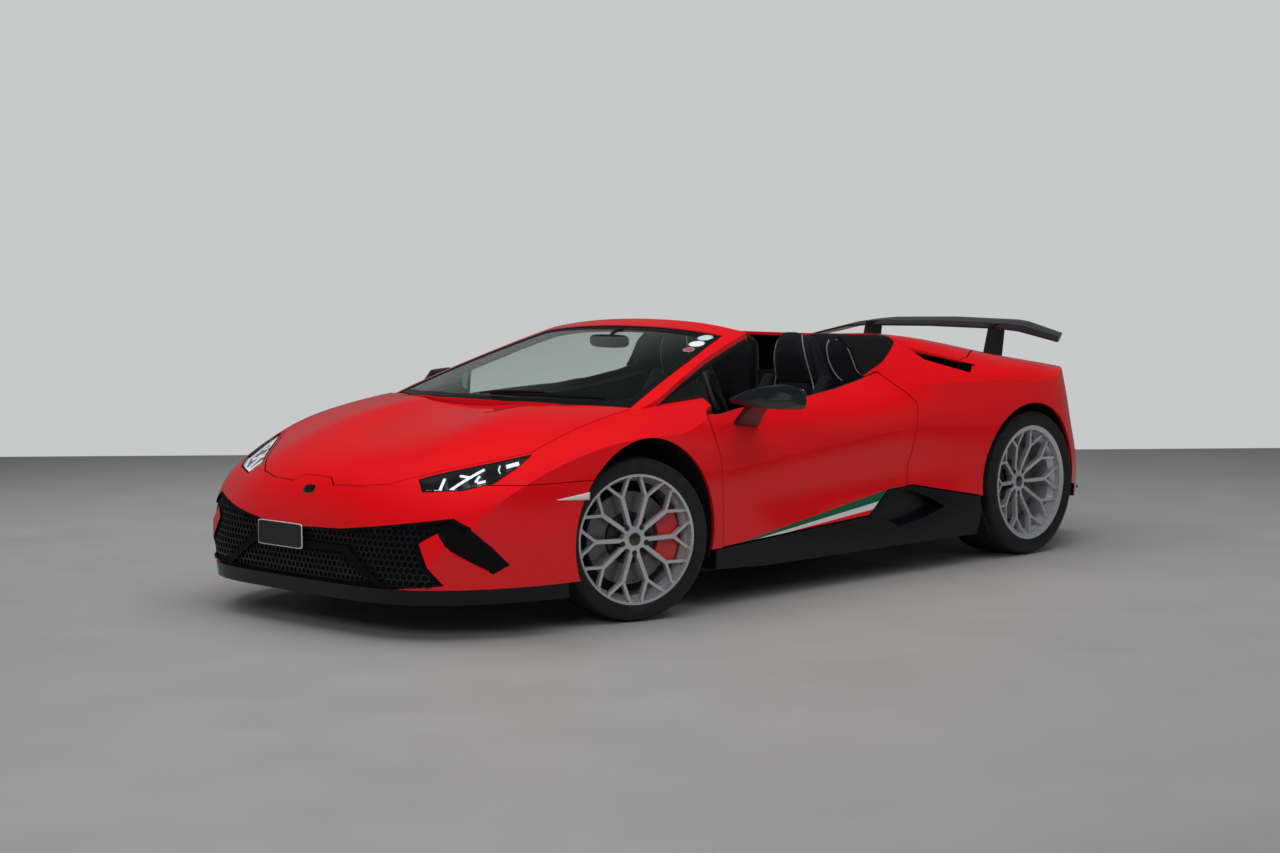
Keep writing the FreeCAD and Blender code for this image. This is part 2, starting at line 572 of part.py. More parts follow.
for number, spot in enumerate(HINGE_SPOTS, start=1):
    place = "hinge%d" % number
    tub_items += pair(place + "_arm", "%s - 14" % HINGE_X, "%s + 14" % HINGE_X, "Dims.tubHalfWidth - 1",
                      "%s" % HINGE_Y, "%s" % spot, "%s" % (spot + 12))
    tub_items += pair(place + "_root", "%s - 14" % HINGE_X, "Dims.frontAxle - 472", "Dims.tubHalfWidth - 30",
                      "Dims.tubHalfWidth", "%s" % spot, "%s" % (spot + 12))
    tub_items += rods(place + "_eye", "%s" % HINGE_X, "%s" % HINGE_Y, "%s" % spot, "14", "12")
    tub_items += rods(place + "_pin", "%s" % HINGE_X, "%s" % HINGE_Y, "%s" % (spot + 12), "%s" % PIN, "30")
tub = joined("tub", tub_items)
doc.recompute()

# The door takes the pins in lugs on its inner frame
for spot in HINGE_SPOTS:
    lug = Part.makeCylinder(15, 24, V(HINGE_X, HINGE_Y, spot + 14))
    lug = lug.fuse(block(HINGE_X - 40, HINGE_X, HINGE_Y - 15, HINGE_Y + 15, spot + 14, spot + 38))
    room = block(HINGE_X - 20, HINGE_X + 100, 700, HINGE_Y + 20, spot - 6, spot + 48).fuse(
        Part.makeCylinder(22, 54, V(HINGE_X, HINGE_Y, spot - 6)))
    door_left = door_left.cut(room.cut(door_skin)).fuse(lug).cut(
        Part.makeCylinder(PIN + 0.05, 60, V(HINGE_X, HINGE_Y, spot + 2)))
door_left = biggest(door_left)
door_right = mirrored(door_left)

# Front structure: an open luggage box on the bulkhead, and ribs that meet the skin
RIB = 14
NOSE_RIB = along(1960)
WHEEL_RIB = along(1636)
FRAME_SIDE = 500
TRAY_LOW, TRAY_TOP, TRAY_WALL = 180, 560, 12
tray = block(dim("footwellFront") + dim("bulkheadThick"), NOSE_RIB - SEATED, -FRAME_SIDE, FRAME_SIDE,
             TRAY_LOW, TRAY_TOP)
tray = tray.cut(block(0, NOSE_RIB + RIB, TRAY_WALL - FRAME_SIDE, FRAME_SIDE - TRAY_WALL, TRAY_LOW + TRAY_WALL, TOP))
nose_rib = block(NOSE_RIB, NOSE_RIB + RIB, -760, 760, TRAY_LOW, 620)
wheel_rib = block(WHEEL_RIB, WHEEL_RIB + RIB, FRAME_SIDE + SEATED, 960, FRONT_PANEL_BOTTOM, 760)
lamp_bed = moved(front_top, V(0, 0, -LAMP_DEPTH - SEATED))
rib_room = front_inner.cut(prism(grown(HOOD, 3 * GAP), "z", 440, TOP)).cut(lamp_clear.cut(lamp_bed))
ribs = [biggest(rib.common(rib_room)) for rib in (nose_rib, wheel_rib, mirrored(wheel_rib))]
flange = block(HINGE_X + HINGE_REACH + 2 * GAP, along(820), dim("tubHalfWidth"), 960, SILL_LINE, 790)
flange = biggest(flange.common(front_inner))

# Cowl: a shelf on the bulkhead, a riser to the glass and a foot under each windscreen pillar
COWL_LOW, COWL_TOP = 770, 782
SHELF = symmetric(plan_outline([(1322, 0), (1312, 220), (1250, 440), (1250, 482), (1095, 482), (1095, 745), (822, 745),
                                (822, 500), (842, 500), (842, 0)]))
cowl = prism(SHELF, "z", COWL_LOW, COWL_TOP)
riser = prism(symmetric(plan_outline([(1320, 0), (1310, 220), (1238, 480), (1226, 480), (1298, 220), (1308, 0)])), "z",
              COWL_LOW, 950)
feet = both(block(along(1030), along(1095), 690, 745, COWL_LOW, 950))
below_glass = moved(screen_top, V(0, 0, -4 - dim("glassThick")))
below_frame = moved(screen_top, V(0, 0, -frame_depth))
cowl = cowl.fuse([riser.common(below_glass), feet.common(below_frame)])
# The hood turns on swan necks that dip below the windscreen's edge and pass through slots in the shelf
HOOD_AXIS = V(along(980), 0, 795)
HOOD_PIN = 5
NECK = ((0, 0), (193, -229), (245, -183), (345, -60), (350, 60))
NECK_WIDTH = 16
NECK_IN, NECK_OUT = 466, 480
SLOT_ROOM = 5


def band(points, width, low, high):
    """A flat bar of even width along a line in the side view, with round ends, between two heights of Y."""
    pieces = [Part.makeCylinder(width / 2, high - low, V(x, low, z), V(0, 1, 0)) for x, z in points]
    for start, end in zip(points, points[1:]):
        quad = strip(V(start[0], start[1], 0), V(end[0], end[1], 0), width)
        pieces.append(prism([(p.x, p.y) for p in quad], "y", low, high))
    return fused(*pieces)


neck_line = [(HOOD_AXIS.x + x, HOOD_AXIS.z + z) for x, z in NECK]
neck = band(neck_line, NECK_WIDTH, NECK_IN, NECK_OUT).fuse(
    Part.makeCylinder(11, NECK_OUT - NECK_IN, V(HOOD_AXIS.x, NECK_IN, HOOD_AXIS.z), V(0, 1, 0)))
neck = neck.common(front_body)
pin_hole = Part.makeCylinder(HOOD_PIN + RUNNING, 60, V(HOOD_AXIS.x, NECK_IN - 20, HOOD_AXIS.z), V(0, 1, 0))
hood = biggest(fused(hood, neck, mirrored(neck)).cut(both(pin_hole)))
slot = block(HOOD_AXIS.x - 20, HOOD_AXIS.x + 330, NECK_IN - SLOT_ROOM, NECK_OUT + SLOT_ROOM, COWL_LOW - 10, 812)
bracket = block(HOOD_AXIS.x - 10, HOOD_AXIS.x + 10, 440, 456, COWL_TOP - 1, HOOD_AXIS.z).fuse(
    [Part.makeCylinder(10, 16, V(HOOD_AXIS.x, 440, HOOD_AXIS.z), V(0, 1, 0)),
     Part.makeCylinder(HOOD_PIN, 42, V(HOOD_AXIS.x, 440, HOOD_AXIS.z), V(0, 1, 0))])
cowl = biggest(fused(cowl.cut(both(slot)), bracket, mirrored(bracket)))

# Arch liners
LINER = 8


def liner(centre, radius):
    ring = Part.makeCylinder(radius + LINER, 500, V(centre.x, ARCH_INSIDE - LINER, centre.z), V(0, 1, 0))
    ring = ring.cut(Part.makeCylinder(radius, 500, V(centre.x, ARCH_INSIDE, centre.z), V(0, 1, 0)))
    return ring.cut(block(centre.x - 600, centre.x + 600, 0, 1300, 0, 215))


arm_window = block(FRONT_AXLE - 210, FRONT_AXLE + 210, 400, 620, 170, 500)
front_liner = biggest(liner(FRONT_ARCH, dim("frontArchRadius")).common(front_inner).cut(arm_window).cut(
    block(FRONT_ARCH.x - 600, along(822), 0, 1300, 0, TOP)))
rear_window = block(REAR_AXLE - 240, REAR_AXLE + 240, 400, 620, 170, 560)
rear_liner = biggest(liner(REAR_ARCH, dim("rearArchRadius")).common(rear_inner).cut(rear_window))

# Side skirts below the doors
SKIRT = side_outline([(818, 160), (820, 238), (800, 240), (-200, 286), (-352, 388), (-520, 395), (-985, 310),
                      (-985, 200), (-960, 137), (500, 143)])
SKIRT_HOLLOW = side_outline([(-268, 286), (-359, 372), (-501, 378), (-640, 330), (-735, 284), (-626, 253),
                             (-402, 222)])
SKIRT_FACE, HOLLOW_DEPTH = 925 * SIDE, 60
skirt = outer.common(prism(SKIRT, "y", dim("tubHalfWidth"), 1300)).cut(front_arch).cut(rear_arch)
skirt = biggest(skirt.cut(prism(SKIRT_HOLLOW, "y", SKIRT_FACE - HOLLOW_DEPTH, 1300)))

# Rear structure: rails under the engine, cross walls that meet the skin, posts for the arms and for the lid
RAIL_LOW, RAIL_TOP = 180, 230
RAIL_IN, RAIL_OUT = 300, 380
CABIN_END = -dim("cabinRear") - dim("bulkheadThick")
FRONT_WALL = along(-990)
TAIL_RIB_BACK = TAIL_SEAM - 18
TAIL_RIB_FRONT = TAIL_SEAM + 10
LID_AXIS = V(along(-1500), 0, 893)
LID_PIN = 5
skirt_room = prism(SKIRT, "y", dim("tubHalfWidth"), 1300)
rear_room = rear_inner.cut(lid_clear).cut(both(skirt_room))
rear_walls = [block(FRONT_WALL, FRONT_WALL + RIB, 420, 980, 200, 860),
              block(TAIL_RIB_BACK, TAIL_RIB_FRONT, -940, 940, TAIL_BOTTOM, 960)]
rear_walls.insert(1, mirrored(rear_walls[0]))
rails = block(TAIL_RIB_BACK, CABIN_END, RAIL_IN, RAIL_OUT, RAIL_LOW, RAIL_TOP)
wall_foot = block(FRONT_WALL, FRONT_WALL + RIB, RAIL_OUT - 10, 430, RAIL_LOW, 260)
arm_posts = [block(REAR_AXLE + start, REAR_AXLE + start + 80, 350, RAIL_OUT, RAIL_TOP, 500) for start in (-215, 135)]
lid_stand = block(LID_AXIS.x - 10, LID_AXIS.x + 10, RAIL_IN, RAIL_IN + 16, RAIL_TOP, LID_AXIS.z)
lid_eye = Part.makeCylinder(10, 16, V(LID_AXIS.x, RAIL_IN, LID_AXIS.z), V(0, 1, 0))
lid_pin = Part.makeCylinder(LID_PIN, 44, V(LID_AXIS.x, RAIL_IN, LID_AXIS.z), V(0, 1, 0))
one_side = [rails, wall_foot, lid_stand, lid_eye, lid_pin] + arm_posts
cross_rails = [block(FRONT_WALL, FRONT_WALL + RIB, -430, 430, RAIL_LOW, RAIL_TOP),
               block(TAIL_RIB_BACK, TAIL_RIB_FRONT, -430, 430, RAIL_LOW, 260)]
rear_frame = fused(*(one_side + [mirrored(item) for item in one_side] + cross_rails
                     + [biggest(wall.common(rear_room)) for wall in rear_walls]))
rear_frame = biggest(rear_frame)
lid_lug = block(LID_AXIS.x - 11, LID_AXIS.x + 11, RAIL_IN + 22, RAIL_IN + 36, LID_AXIS.z, 990).fuse(
    Part.makeCylinder(11, 14, V(LID_AXIS.x, RAIL_IN + 22, LID_AXIS.z), V(0, 1, 0))).common(rear_body)
lid_hole = Part.makeCylinder(LID_PIN + RUNNING, 60, V(LID_AXIS.x, RAIL_IN, LID_AXIS.z), V(0, 1, 0))
lid = biggest(fused(lid, *both(lid_lug).Solids).cut(both(lid_hole)))

# Wheels: five bolt lobes, each with two stems that fork into a Y before the rim
SPOKE_PAIRS = 5
FORK_TURN = 18.0
FORK_RADIUS = 174.0
RIM_TURN = 12.3
STEM_WIDTH = 17.0
ARM_WIDTH = 12.0
BEAD_DROP = 15.0
HUB_RADIUS = 46.0
LOBE_RADIUS = 70.0
BOLT_CIRCLE = 56.0
BOLT_RADIUS = 12.0
BORE = 22.0


def polar(radius, degrees):
    return V(radius * math.sin(math.radians(degrees)), radius * math.cos(math.radians(degrees)), 0)


def plane(body, role):
    return [feature for feature in body.Origin.OriginFeatures if feature.Role == role][0]


def sketch_on(body, name, role, outlines):
    """A sketch of closed polygons on one of the body's own planes."""
    sketch = body.newObject("Sketcher::SketchObject", name)
    sketch.AttachmentSupport = (plane(body, role), "")
    sketch.MapMode = "FlatFace"
    for points in outlines:
        first = sketch.GeometryCount
        for start, end in zip(points, points[1:] + points[:1]):
            sketch.addGeometry(Part.LineSegment(start, end), False)
        for k in range(len(points)):
            sketch.addConstraint(Sketcher.Constraint("Coincident", first + k, 2, first + (k + 1) % len(points), 1))
    return sketch


def profile(points):
    """Points given as (radius, height) for a sketch whose vertical line is the axis."""
    return [V(radius, height, 0) for radius, height in points]


def turned(body, kind, name, points):
    feature = body.newObject("PartDesign::" + kind, name)
    feature.Profile = sketch_on(body, name + "_sketch", "XZ_Plane", [profile(points)])
    feature.ReferenceAxis = (feature.Profile[0], ["V_Axis"])
    feature.Angle = 360
    doc.recompute()
    return feature


def repeated(body, name, originals):
    pattern = body.newObject("PartDesign::PolarPattern", name)
    pattern.Originals = originals
    pattern.Axis = (plane(body, "Z_Axis"), [""])
    pattern.Angle = 360
    pattern.Occurrences = SPOKE_PAIRS
    body.Tip = pattern
    doc.recompute()
    return pattern


def rim(name, half_width, hub_face, rim_face):
    """One wheel about its own Z axis, outer face up: half width, and the spoke heights at the hub and at the rim."""
    body = doc.addObject("PartDesign::Body", name)
    reach = dim("rimRadius")
    seat = reach - BEAD_DROP
    strips = [(polar(30, 0), polar(LOBE_RADIUS - 8, 0), 44)]
    for lean in (1, -1):
        fork = polar(FORK_RADIUS, lean * FORK_TURN)
        strips += [(polar(52, lean * 14), fork, STEM_WIDTH),
                   (fork, polar(seat - 5, lean * FORK_TURN - RIM_TURN), ARM_WIDTH),
                   (fork, polar(seat - 5, lean * FORK_TURN + RIM_TURN), ARM_WIDTH)]
    pads = []
    for number, (start, end, width) in enumerate(strips):
        tag = "%s_strip%d" % (name, number)
        pad = body.newObject("PartDesign::Pad", tag)
        pad.Profile = sketch_on(body, tag + "_sketch", "XY_Plane", [strip(start, end, width)])
        pad.Length = rim_face + 10
        pads.append(pad)
    doc.recompute()
    repeated(body, name + "_spokes", pads)
    outside = seat - 12
    turned(body, "Groove", name + "_front", [(0, hub_face), (HUB_RADIUS + 30, hub_face), (outside, rim_face),
                                             (outside, rim_face + 60), (0, rim_face + 60)])
    turned(body, "Groove", name + "_back", [(0, -1), (0, hub_face - 40), (LOBE_RADIUS, hub_face - 40),
                                            (LOBE_RADIUS + 4, hub_face - 22), (outside, rim_face - 22),
                                            (outside, -1)])
    w = half_width
    turned(body, "Revolution", name + "_barrel",
           [(reach, w), (reach, w - 8), (seat + 2, w - 14), (seat, w - 38), (seat - 18, w - 62),
            (seat - 18, 44 - w), (seat, 18 - w), (seat + 2, 14 - w), (reach, 8 - w), (reach, -w),
            (seat - 8, 2 - w), (seat - 10, 18 - w), (seat - 27, 42 - w), (seat - 27, w - 60), (seat - 10, w - 34),
            (seat - 6, w - 6)])
    turned(body, "Revolution", name + "_hub",
           [(BORE, hub_face - 44), (HUB_RADIUS, hub_face - 44), (HUB_RADIUS + 4, hub_face - 6),
            (HUB_RADIUS, hub_face), (0, hub_face + 2), (0, hub_face - 14), (BORE, hub_face - 14)])
    bolt = body.newObject("PartDesign::Pocket", name + "_bolt")
    sketch = body.newObject("Sketcher::SketchObject", name + "_bolt_sketch")
    sketch.AttachmentSupport = (plane(body, "XY_Plane"), "")
    sketch.MapMode = "FlatFace"
    sketch.addGeometry(Part.Circle(polar(BOLT_CIRCLE, 0), V(0, 0, 1), BOLT_RADIUS), False)
    bolt.Profile = sketch
    bolt.Type = 1
    bolt.Midplane = True
    doc.recompute()
    repeated(body, name + "_bolts", [bolt])
    return body


def tyre(name, half_width, radius):
    body = doc.addObject("PartDesign::Body", name)
    seat = dim("rimRadius") - BEAD_DROP + 2.3
    w = half_width
    turned(body, "Revolution", name + "_ring",
           [(seat, 16 - w + 14), (seat + 22, 4 - w + 10), (radius - 42, -w), (radius - 12, 12 - w), (radius, 40 - w),
            (radius, w - 40), (radius - 12, w - 12), (radius - 42, w), (seat + 22, w - 14), (seat, w - 30)])
    return body


RIM_INSET = 12.5
FRONT_HUB_FACE, FRONT_RIM_FACE = 86, 92
REAR_HUB_FACE, REAR_RIM_FACE = 70, 118
front_rim = rim("front_rim", dim("frontTyreWidth") / 2 - RIM_INSET, FRONT_HUB_FACE, FRONT_RIM_FACE)
rear_rim = rim("rear_rim", dim("rearTyreWidth") / 2 - RIM_INSET, REAR_HUB_FACE, REAR_RIM_FACE)
front_tyre = tyre("front_tyre", dim("frontTyreWidth") / 2, dim("frontTyreRadius"))
rear_tyre = tyre("rear_tyre", dim("rearTyreWidth") / 2, dim("rearTyreRadius"))

# Behind the spokes: disc, caliper and hub carrier, all set back from the wheel's mounting face
DISC_BACK = 54
HAT = 10
DISC_BORE = 95
CARRIER_RADIUS = 78
CARRIER_THICK = 22
STUB = BORE - RUNNING
CALIPER_OUT = 214
CALIPER_IN = 122
CALIPER_BRIDGE = 192
PAD_ROOM = 5
OUTER_JAW = 23
INNER_JAW = 29


def disc(hub_face):
    """The brake disc on its hat, reaching the back of the hub."""
    high = hub_face - DISC_BACK
    thick = dim("discThick")
    ring = Part.makeCylinder(dim("discRadius"), thick, V(0, 0, high - thick))
    ring = ring.cut(Part.makeCylinder(DISC_BORE, 2 * thick, V(0, 0, high - 1.5 * thick)))
    hat = Part.makeCylinder(DISC_BORE + 7, HAT, V(0, 0, high))
    bore = Part.makeCylinder(BORE, 4 * thick, V(0, 0, high - 2 * thick))
    return ring.fuse(hat).cut(bore)


def caliper(hub_face, span, aim):
    """A jaw on each side of the disc and the bridge that joins them, over a span of degrees about aim."""
    high = hub_face - DISC_BACK
    low = high - dim("discThick")
    bottom = low - PAD_ROOM - INNER_JAW
    jaws = Part.makeCylinder(CALIPER_OUT, high + PAD_ROOM + OUTER_JAW - bottom, V(0, 0, bottom), V(0, 0, 1), span)
    jaws = jaws.cut(Part.makeCylinder(CALIPER_IN, 300, V(0, 0, bottom - 1)))
    jaws = jaws.cut(Part.makeCylinder(CALIPER_BRIDGE, high - low + 2 * PAD_ROOM, V(0, 0, low - PAD_ROOM)))
    return jaws.rotated(V(0, 0, 0), V(0, 0, 1), aim - span / 2)


def carrier(hub_face, span, aim):
    """Hub carrier behind the disc: the stub that the wheel turns on, and an ear that reaches the caliper."""
    low = hub_face - DISC_BACK - dim("discThick")
    base = low - PAD_ROOM - INNER_JAW + 4
    plate = Part.makeCylinder(CARRIER_RADIUS, CARRIER_THICK, V(0, 0, base))
    stub = Part.makeCylinder(STUB, hub_face - 20 - base, V(0, 0, base))
    ear = Part.makeCylinder(CALIPER_IN - SEATED, CARRIER_THICK, V(0, 0, base), V(0, 0, 1), span)
    return plate.fuse([stub, ear.rotated(V(0, 0, 0), V(0, 0, 1), aim - span / 2)])


# Where the wheels stand; the front pair is parked turned to the right about its kingpins
KINGPIN_INSET = 20
KINGPIN_Y = dim("frontTrack") / 2 - KINGPIN_INSET
REAR_Y = dim("rearTrack") / 2
CALIPER_SPAN = 64
CALIPER_AIM = {"fl": 180, "fr": 180, "rl": 0, "rr": 0}
WHEELS = ("fl", "fr", "rl", "rr")


def wheel_place(name):
    """Centre and turn of a wheel: its own Z points out of the car, and its own X stays level."""
    side = 1 if name.endswith("l") else -1
    out = FreeCAD.Rotation(V(1, 0, 0), -90 * side)
    if name.startswith("r"):
        return FreeCAD.Placement(V(REAR_AXLE, side * REAR_Y, dim("rearTyreRadius")), out)
    centre = V(FRONT_AXLE, side * (KINGPIN_Y + KINGPIN_INSET), dim("frontTyreRadius"))
    return FreeCAD.Placement(centre, out)


def parked(side):
    """The turn that carries a front corner from straight ahead to how it is parked."""
    turn = FreeCAD.Rotation(V(0, 0, 1), -dim("steerRest"))
    return FreeCAD.Placement(V(0, 0, 0), turn, V(FRONT_AXLE, side * KINGPIN_Y, 0))


def placed(shape, placement):
    copy = shape.copy()
    copy.Placement = placement.multiply(copy.Placement)
    return copy


front_rotor = fused(front_rim.Shape, disc(FRONT_HUB_FACE))
rear_rotor = fused(rear_rim.Shape, disc(REAR_HUB_FACE))
corner = {}
for name in WHEELS:
    front = name.startswith("f")
    side = 1 if name.endswith("l") else -1
    face = FRONT_HUB_FACE if front else REAR_HUB_FACE
    place = wheel_place(name)
    if front:
        place = parked(side).multiply(place)
    pieces = {"rim": front_rotor if front else rear_rotor, "tyre": (front_tyre if front else rear_tyre).Shape,
              "caliper": caliper(face, CALIPER_SPAN, CALIPER_AIM[name]),
              "carrier": carrier(face, CALIPER_SPAN - 20, CALIPER_AIM[name])}
    corner[name] = {kind: placed(shape, place) for kind, shape in pieces.items()}
# The rear wheels share one axle line, and as mirror images they have their bolts in line too
corner["rr"]["rim"] = mirrored(corner["rl"]["rim"])

# Front hub carriers turn on ball pins at the tips of the wishbones
BALL_LOW, BALL_HIGH, BALL_PIN, BALL_EYE = 205, 452, 9, 14
ARM_THICK = 16


def kingpin_arms(side):
    """The two arms of a front hub carrier, above and below its plate, bored for the ball pins."""
    pivot = V(FRONT_AXLE, side * KINGPIN_Y, 0)
    middle = dim("frontTyreRadius")
    arms = []
    for low, high in ((BALL_LOW, middle - 55), (middle + 55, BALL_HIGH)):
        arms.append(Part.makeCylinder(BALL_EYE, high - low, pivot + V(0, 0, low)))
    eye_hole = Part.makeCylinder(BALL_PIN + RUNNING, 36, pivot + V(0, 0, BALL_LOW - 1))
    top_hole = Part.makeCylinder(BALL_PIN + RUNNING, 36, pivot + V(0, 0, BALL_HIGH - 35))
    return arms, [eye_hole, top_hole]


for name in ("fl", "fr"):
    arms, holes = kingpin_arms(1 if name == "fl" else -1)
    corner[name]["carrier"] = biggest(fused(corner[name]["carrier"], *arms).cut(holes))


def wishbone(axle, side, root, tip, half_root, half_tip, low, thick):
    """A flat arm shaped like an A: two roots at the frame, one tip."""
    waist = root + (tip - root) * 0.55
    points = [(axle - half_root, root), (axle - half_root + 60, root), (axle, waist), (axle + half_root - 60, root),
              (axle + half_root, root), (axle + half_tip, tip), (axle - half_tip, tip)]
    return prism([(x, side * y) for x, y in points], "z", low, low + thick)


front_arms = []
for side in (1, -1):
    pivot = V(FRONT_AXLE, side * KINGPIN_Y, 0)
    for half_root, low, pin_low in ((150, BALL_LOW - 2 - ARM_THICK, BALL_LOW - 3), (120, BALL_HIGH + 2, BALL_HIGH - 32)):
        arm = wishbone(FRONT_AXLE, side, FRAME_SIDE, KINGPIN_Y, half_root, BALL_EYE, low, ARM_THICK)
        eye = Part.makeCylinder(BALL_EYE, ARM_THICK, pivot + V(0, 0, low))
        pin = Part.makeCylinder(BALL_PIN, 35, pivot + V(0, 0, pin_low))
        front_arms.append(biggest(fused(arm, eye, pin)))

REAR_ARM_LOW, REAR_ARM_HIGH, REAR_ARM_THICK = 182, 470, 18
REAR_LINK_Y = REAR_Y - 64
rear_corners = []
for name, side in (("rl", 1), ("rr", -1)):
    arms = [wishbone(REAR_AXLE, side, RAIL_OUT, REAR_LINK_Y + 10, 200, 20, low, REAR_ARM_THICK)
            for low in (REAR_ARM_LOW, REAR_ARM_HIGH)]
    inner, outward = sorted((side * (REAR_LINK_Y - 20), side * (REAR_Y - 44)))
    link = block(REAR_AXLE - 26, REAR_AXLE + 26, inner, outward, REAR_ARM_LOW, REAR_ARM_HIGH + REAR_ARM_THICK)
    rear_corners.append(biggest(fused(corner[name]["carrier"], link, *arms)))

# Engine: one plain block at its real size and place, on the rails
engine = doc.addObject("Part::Box", "engine_block")
engine.setExpression("Length", "Dims.engineLength")
engine.setExpression("Width", "Dims.engineWidth")
engine.setExpression("Height", "Dims.engineHeight")
engine.setExpression("Placement.Base.x", "-Dims.cabinRear - Dims.bulkheadThick - 60 - Dims.engineLength")
engine.setExpression("Placement.Base.y", "-Dims.engineWidth / 2")
engine.setExpression("Placement.Base.z", "%s + %s" % (RAIL_TOP, SEATED))

# Cabin
FLOOR = dim("floorHeight") + dim("floorThick") + SEATED
SEAT_MARGIN = 20


def seat(side):
    """One bucket seat: cushion, tall back and head rest in one outline, as wide as the bolsters."""
    front = dim("seatFront")
    points = [(0, FLOOR), (20, 300), (-20, 345), (-220, 318), (-290, 330), (-340, 480), (-400, 800),
              (-412, 1010), (-385, 1062), (-350, 1072), (-425, 1078), (-480, 1040), (-510, 800),
              (-460, 400), (-440, FLOOR)]
    middle = side * dim("seatCentre")
    half = dim("seatWidth") / 2 - SEAT_MARGIN
    return prism([(front + x, z) for x, z in points], "y", middle - half, middle + half)


seats = [seat(1), seat(-1)]
DASH_BACK = dim("footwellFront") - SEATED
DASH_HALF = 600
dash = prism([(DASH_BACK, 560), (DASH_BACK, 772), (DASH_BACK - 60, 800), (600, 790), (545, 740), (530, 640),
              (600, 560)], "y", -DASH_HALF, DASH_HALF)
dash = biggest(dash.cut(both(block(dim("frontAxle") - 473 - SEATED, 1000, FRAME_SIDE - SEATED, 900, 0, 1000))))

WHEEL_CENTRE = V(330, dim("seatCentre"), 760)
WHEEL_LEAN = V(-1, 0, 0.36)
GRIP = 15
reach = dim("steeringWheelRadius")
steering = fused(Part.makeTorus(reach, GRIP), Part.makeCylinder(52, 34, V(0, 0, -20)),
                 Part.makeBox(2 * reach, 34, 12, V(-reach, -17, -8)),
                 Part.makeBox(34, reach, 12, V(-17, -reach, -8)), Part.makeCylinder(24, 260, V(0, 0, -270)))
upright_wheel = FreeCAD.Rotation(V(0, 0, 1), WHEEL_LEAN).multiply(FreeCAD.Rotation(V(0, 0, 1), 90))
steering = biggest(placed(steering, FreeCAD.Placement(WHEEL_CENTRE, upright_wheel)).cut(dash))
console = block(along(-560), along(480), -95, 95, dim("tunnelTop") + SEATED, dim("tunnelTop") + 60)
BULKHEAD_TOP = 880
HUMP_FACE = -dim("cabinRear") + SEATED
HUMP = [(HUMP_FACE + 80, 700), (HUMP_FACE + 74, 1000), (HUMP_FACE + 40, 1062), (HUMP_FACE - 8, 1066),
        (HUMP_FACE - 9, BULKHEAD_TOP + SEATED), (HUMP_FACE, BULKHEAD_TOP + SEATED), (HUMP_FACE, 700)]
humps = both(prism(HUMP, "y", 130, 600))


def lofted(sections):
    """A closed solid through closed polygons that all have as many corners."""
    wires = [Part.makePolygon(points + points[:1]) for points in sections]
    return Part.makeLoft(wires, True, True)


# Rear wing: a blade between a leading and a trailing edge, its ends bent down, on two pylons
BLADE_THICK = 24
WING_DROP = 1106 - dim("wingHeight")


def blade_section(y_front, lead, y_back, trail):
    front = V(along(lead[0]), y_front, lead[1] - WING_DROP)
    back = V(along(trail[0]), y_back, trail[1] - WING_DROP)
    chord = back - front
    lift = V(0, 0, BLADE_THICK / 2)
    return [front + lift * 0.4, front + chord * 0.3 + lift, front + chord * 0.7 + lift * 0.7, back,
            front + chord * 0.7 - lift * 0.5, front + chord * 0.3 - lift, front - lift * 0.4]


half_span = dim("wingSpan") / 2
wing_left = [blade_section(0, (-1820, 1068), 0, (-2060, 1106)),
             blade_section(430, (-1820, 1062), 390, (-2060, 1098)),
             blade_section(555, (-1820, 1052), 455, (-2060, 1090)),
             blade_section(half_span, (-1822, 1004), half_span - 118, (-2040, 1036))]
wing_right = [[V(p.x, -p.y, p.z) for p in section] for section in reversed(wing_left[1:])]
wing = lofted(wing_right + wing_left)
pylon = prism(side_outline([(-1716, 800), (-1840, 1180), (-1945, 1180), (-1880, 800)]), "y", 388, 404)
pylons = both(biggest(pylon.cut(rear_body).cut(wing).common(block(-2400, 0, 0, 900, 800, 1075))))

# Door mirrors, each on a stalk that stands on the door skin
MIRROR = (
    (945, ((655, 838), (745, 842), (748, 856), (700, 872), (655, 868), (640, 852))),
    (1000, ((510, 806), (700, 822), (742, 850), (690, 892), (560, 902), (500, 880))),
    (1060, ((470, 797), (660, 815), (700, 850), (650, 908), (530, 914), (462, 890))),
    (1105, ((455, 800), (560, 812), (600, 845), (570, 880), (490, 892), (448, 880))),
    (1118, ((462, 818), (530, 824), (550, 845), (530, 862), (485, 870), (458, 862))),
)
out = dim("mirrorSpan") / 2 - 1118
mirror = lofted([[V(along(x), y + out, z) for x, z in points] for y, points in MIRROR])
stalk = lofted([[V(along(x), 860, z) for x, z in ((480, 700), (634, 728), (640, 745), (520, 760))],
                [V(along(x), 960, z) for x, z in ((530, 800), (640, 810), (660, 835), (540, 835))],
                [V(along(x), 1010 + out, z) for x, z in ((540, 815), (650, 825), (670, 850), (550, 850))]])
mirror = biggest(fused(mirror, stalk.cut(outer)))

# Tail: pipes high in the middle, lamps on the grille plate, diffuser under it
pipe_wall = 4
pipe_front = along(-1975)
pipe_length = 260
pipes = []
pipe_rooms = []
for side in (1, -1):
    end = V(pipe_front - pipe_length, side * EXHAUST_Y, EXHAUST_Z)
    pipe = Part.makeCylinder(dim("exhaustRadius"), pipe_length, end, V(1, 0, 0))
    pipes.append(pipe.cut(Part.makeCylinder(dim("exhaustRadius") - pipe_wall, pipe_length - 40, end, V(1, 0, 0))))
    pipe_rooms.append(Part.makeCylinder(dim("exhaustRadius") + SEATED, 600, end - V(200, 0, 0), V(1, 0, 0)))
tail_plate = biggest(tail_plate.cut(pipe_rooms))
LAMP_OUTLINE = front_outline([(520, 690), (700, 735), (706, 700), (560, 640)])
tail_lamp = rear_body.cut(rear_inner).common(
    prism(LAMP_OUTLINE, "x", along(-2400), along(-1900)))
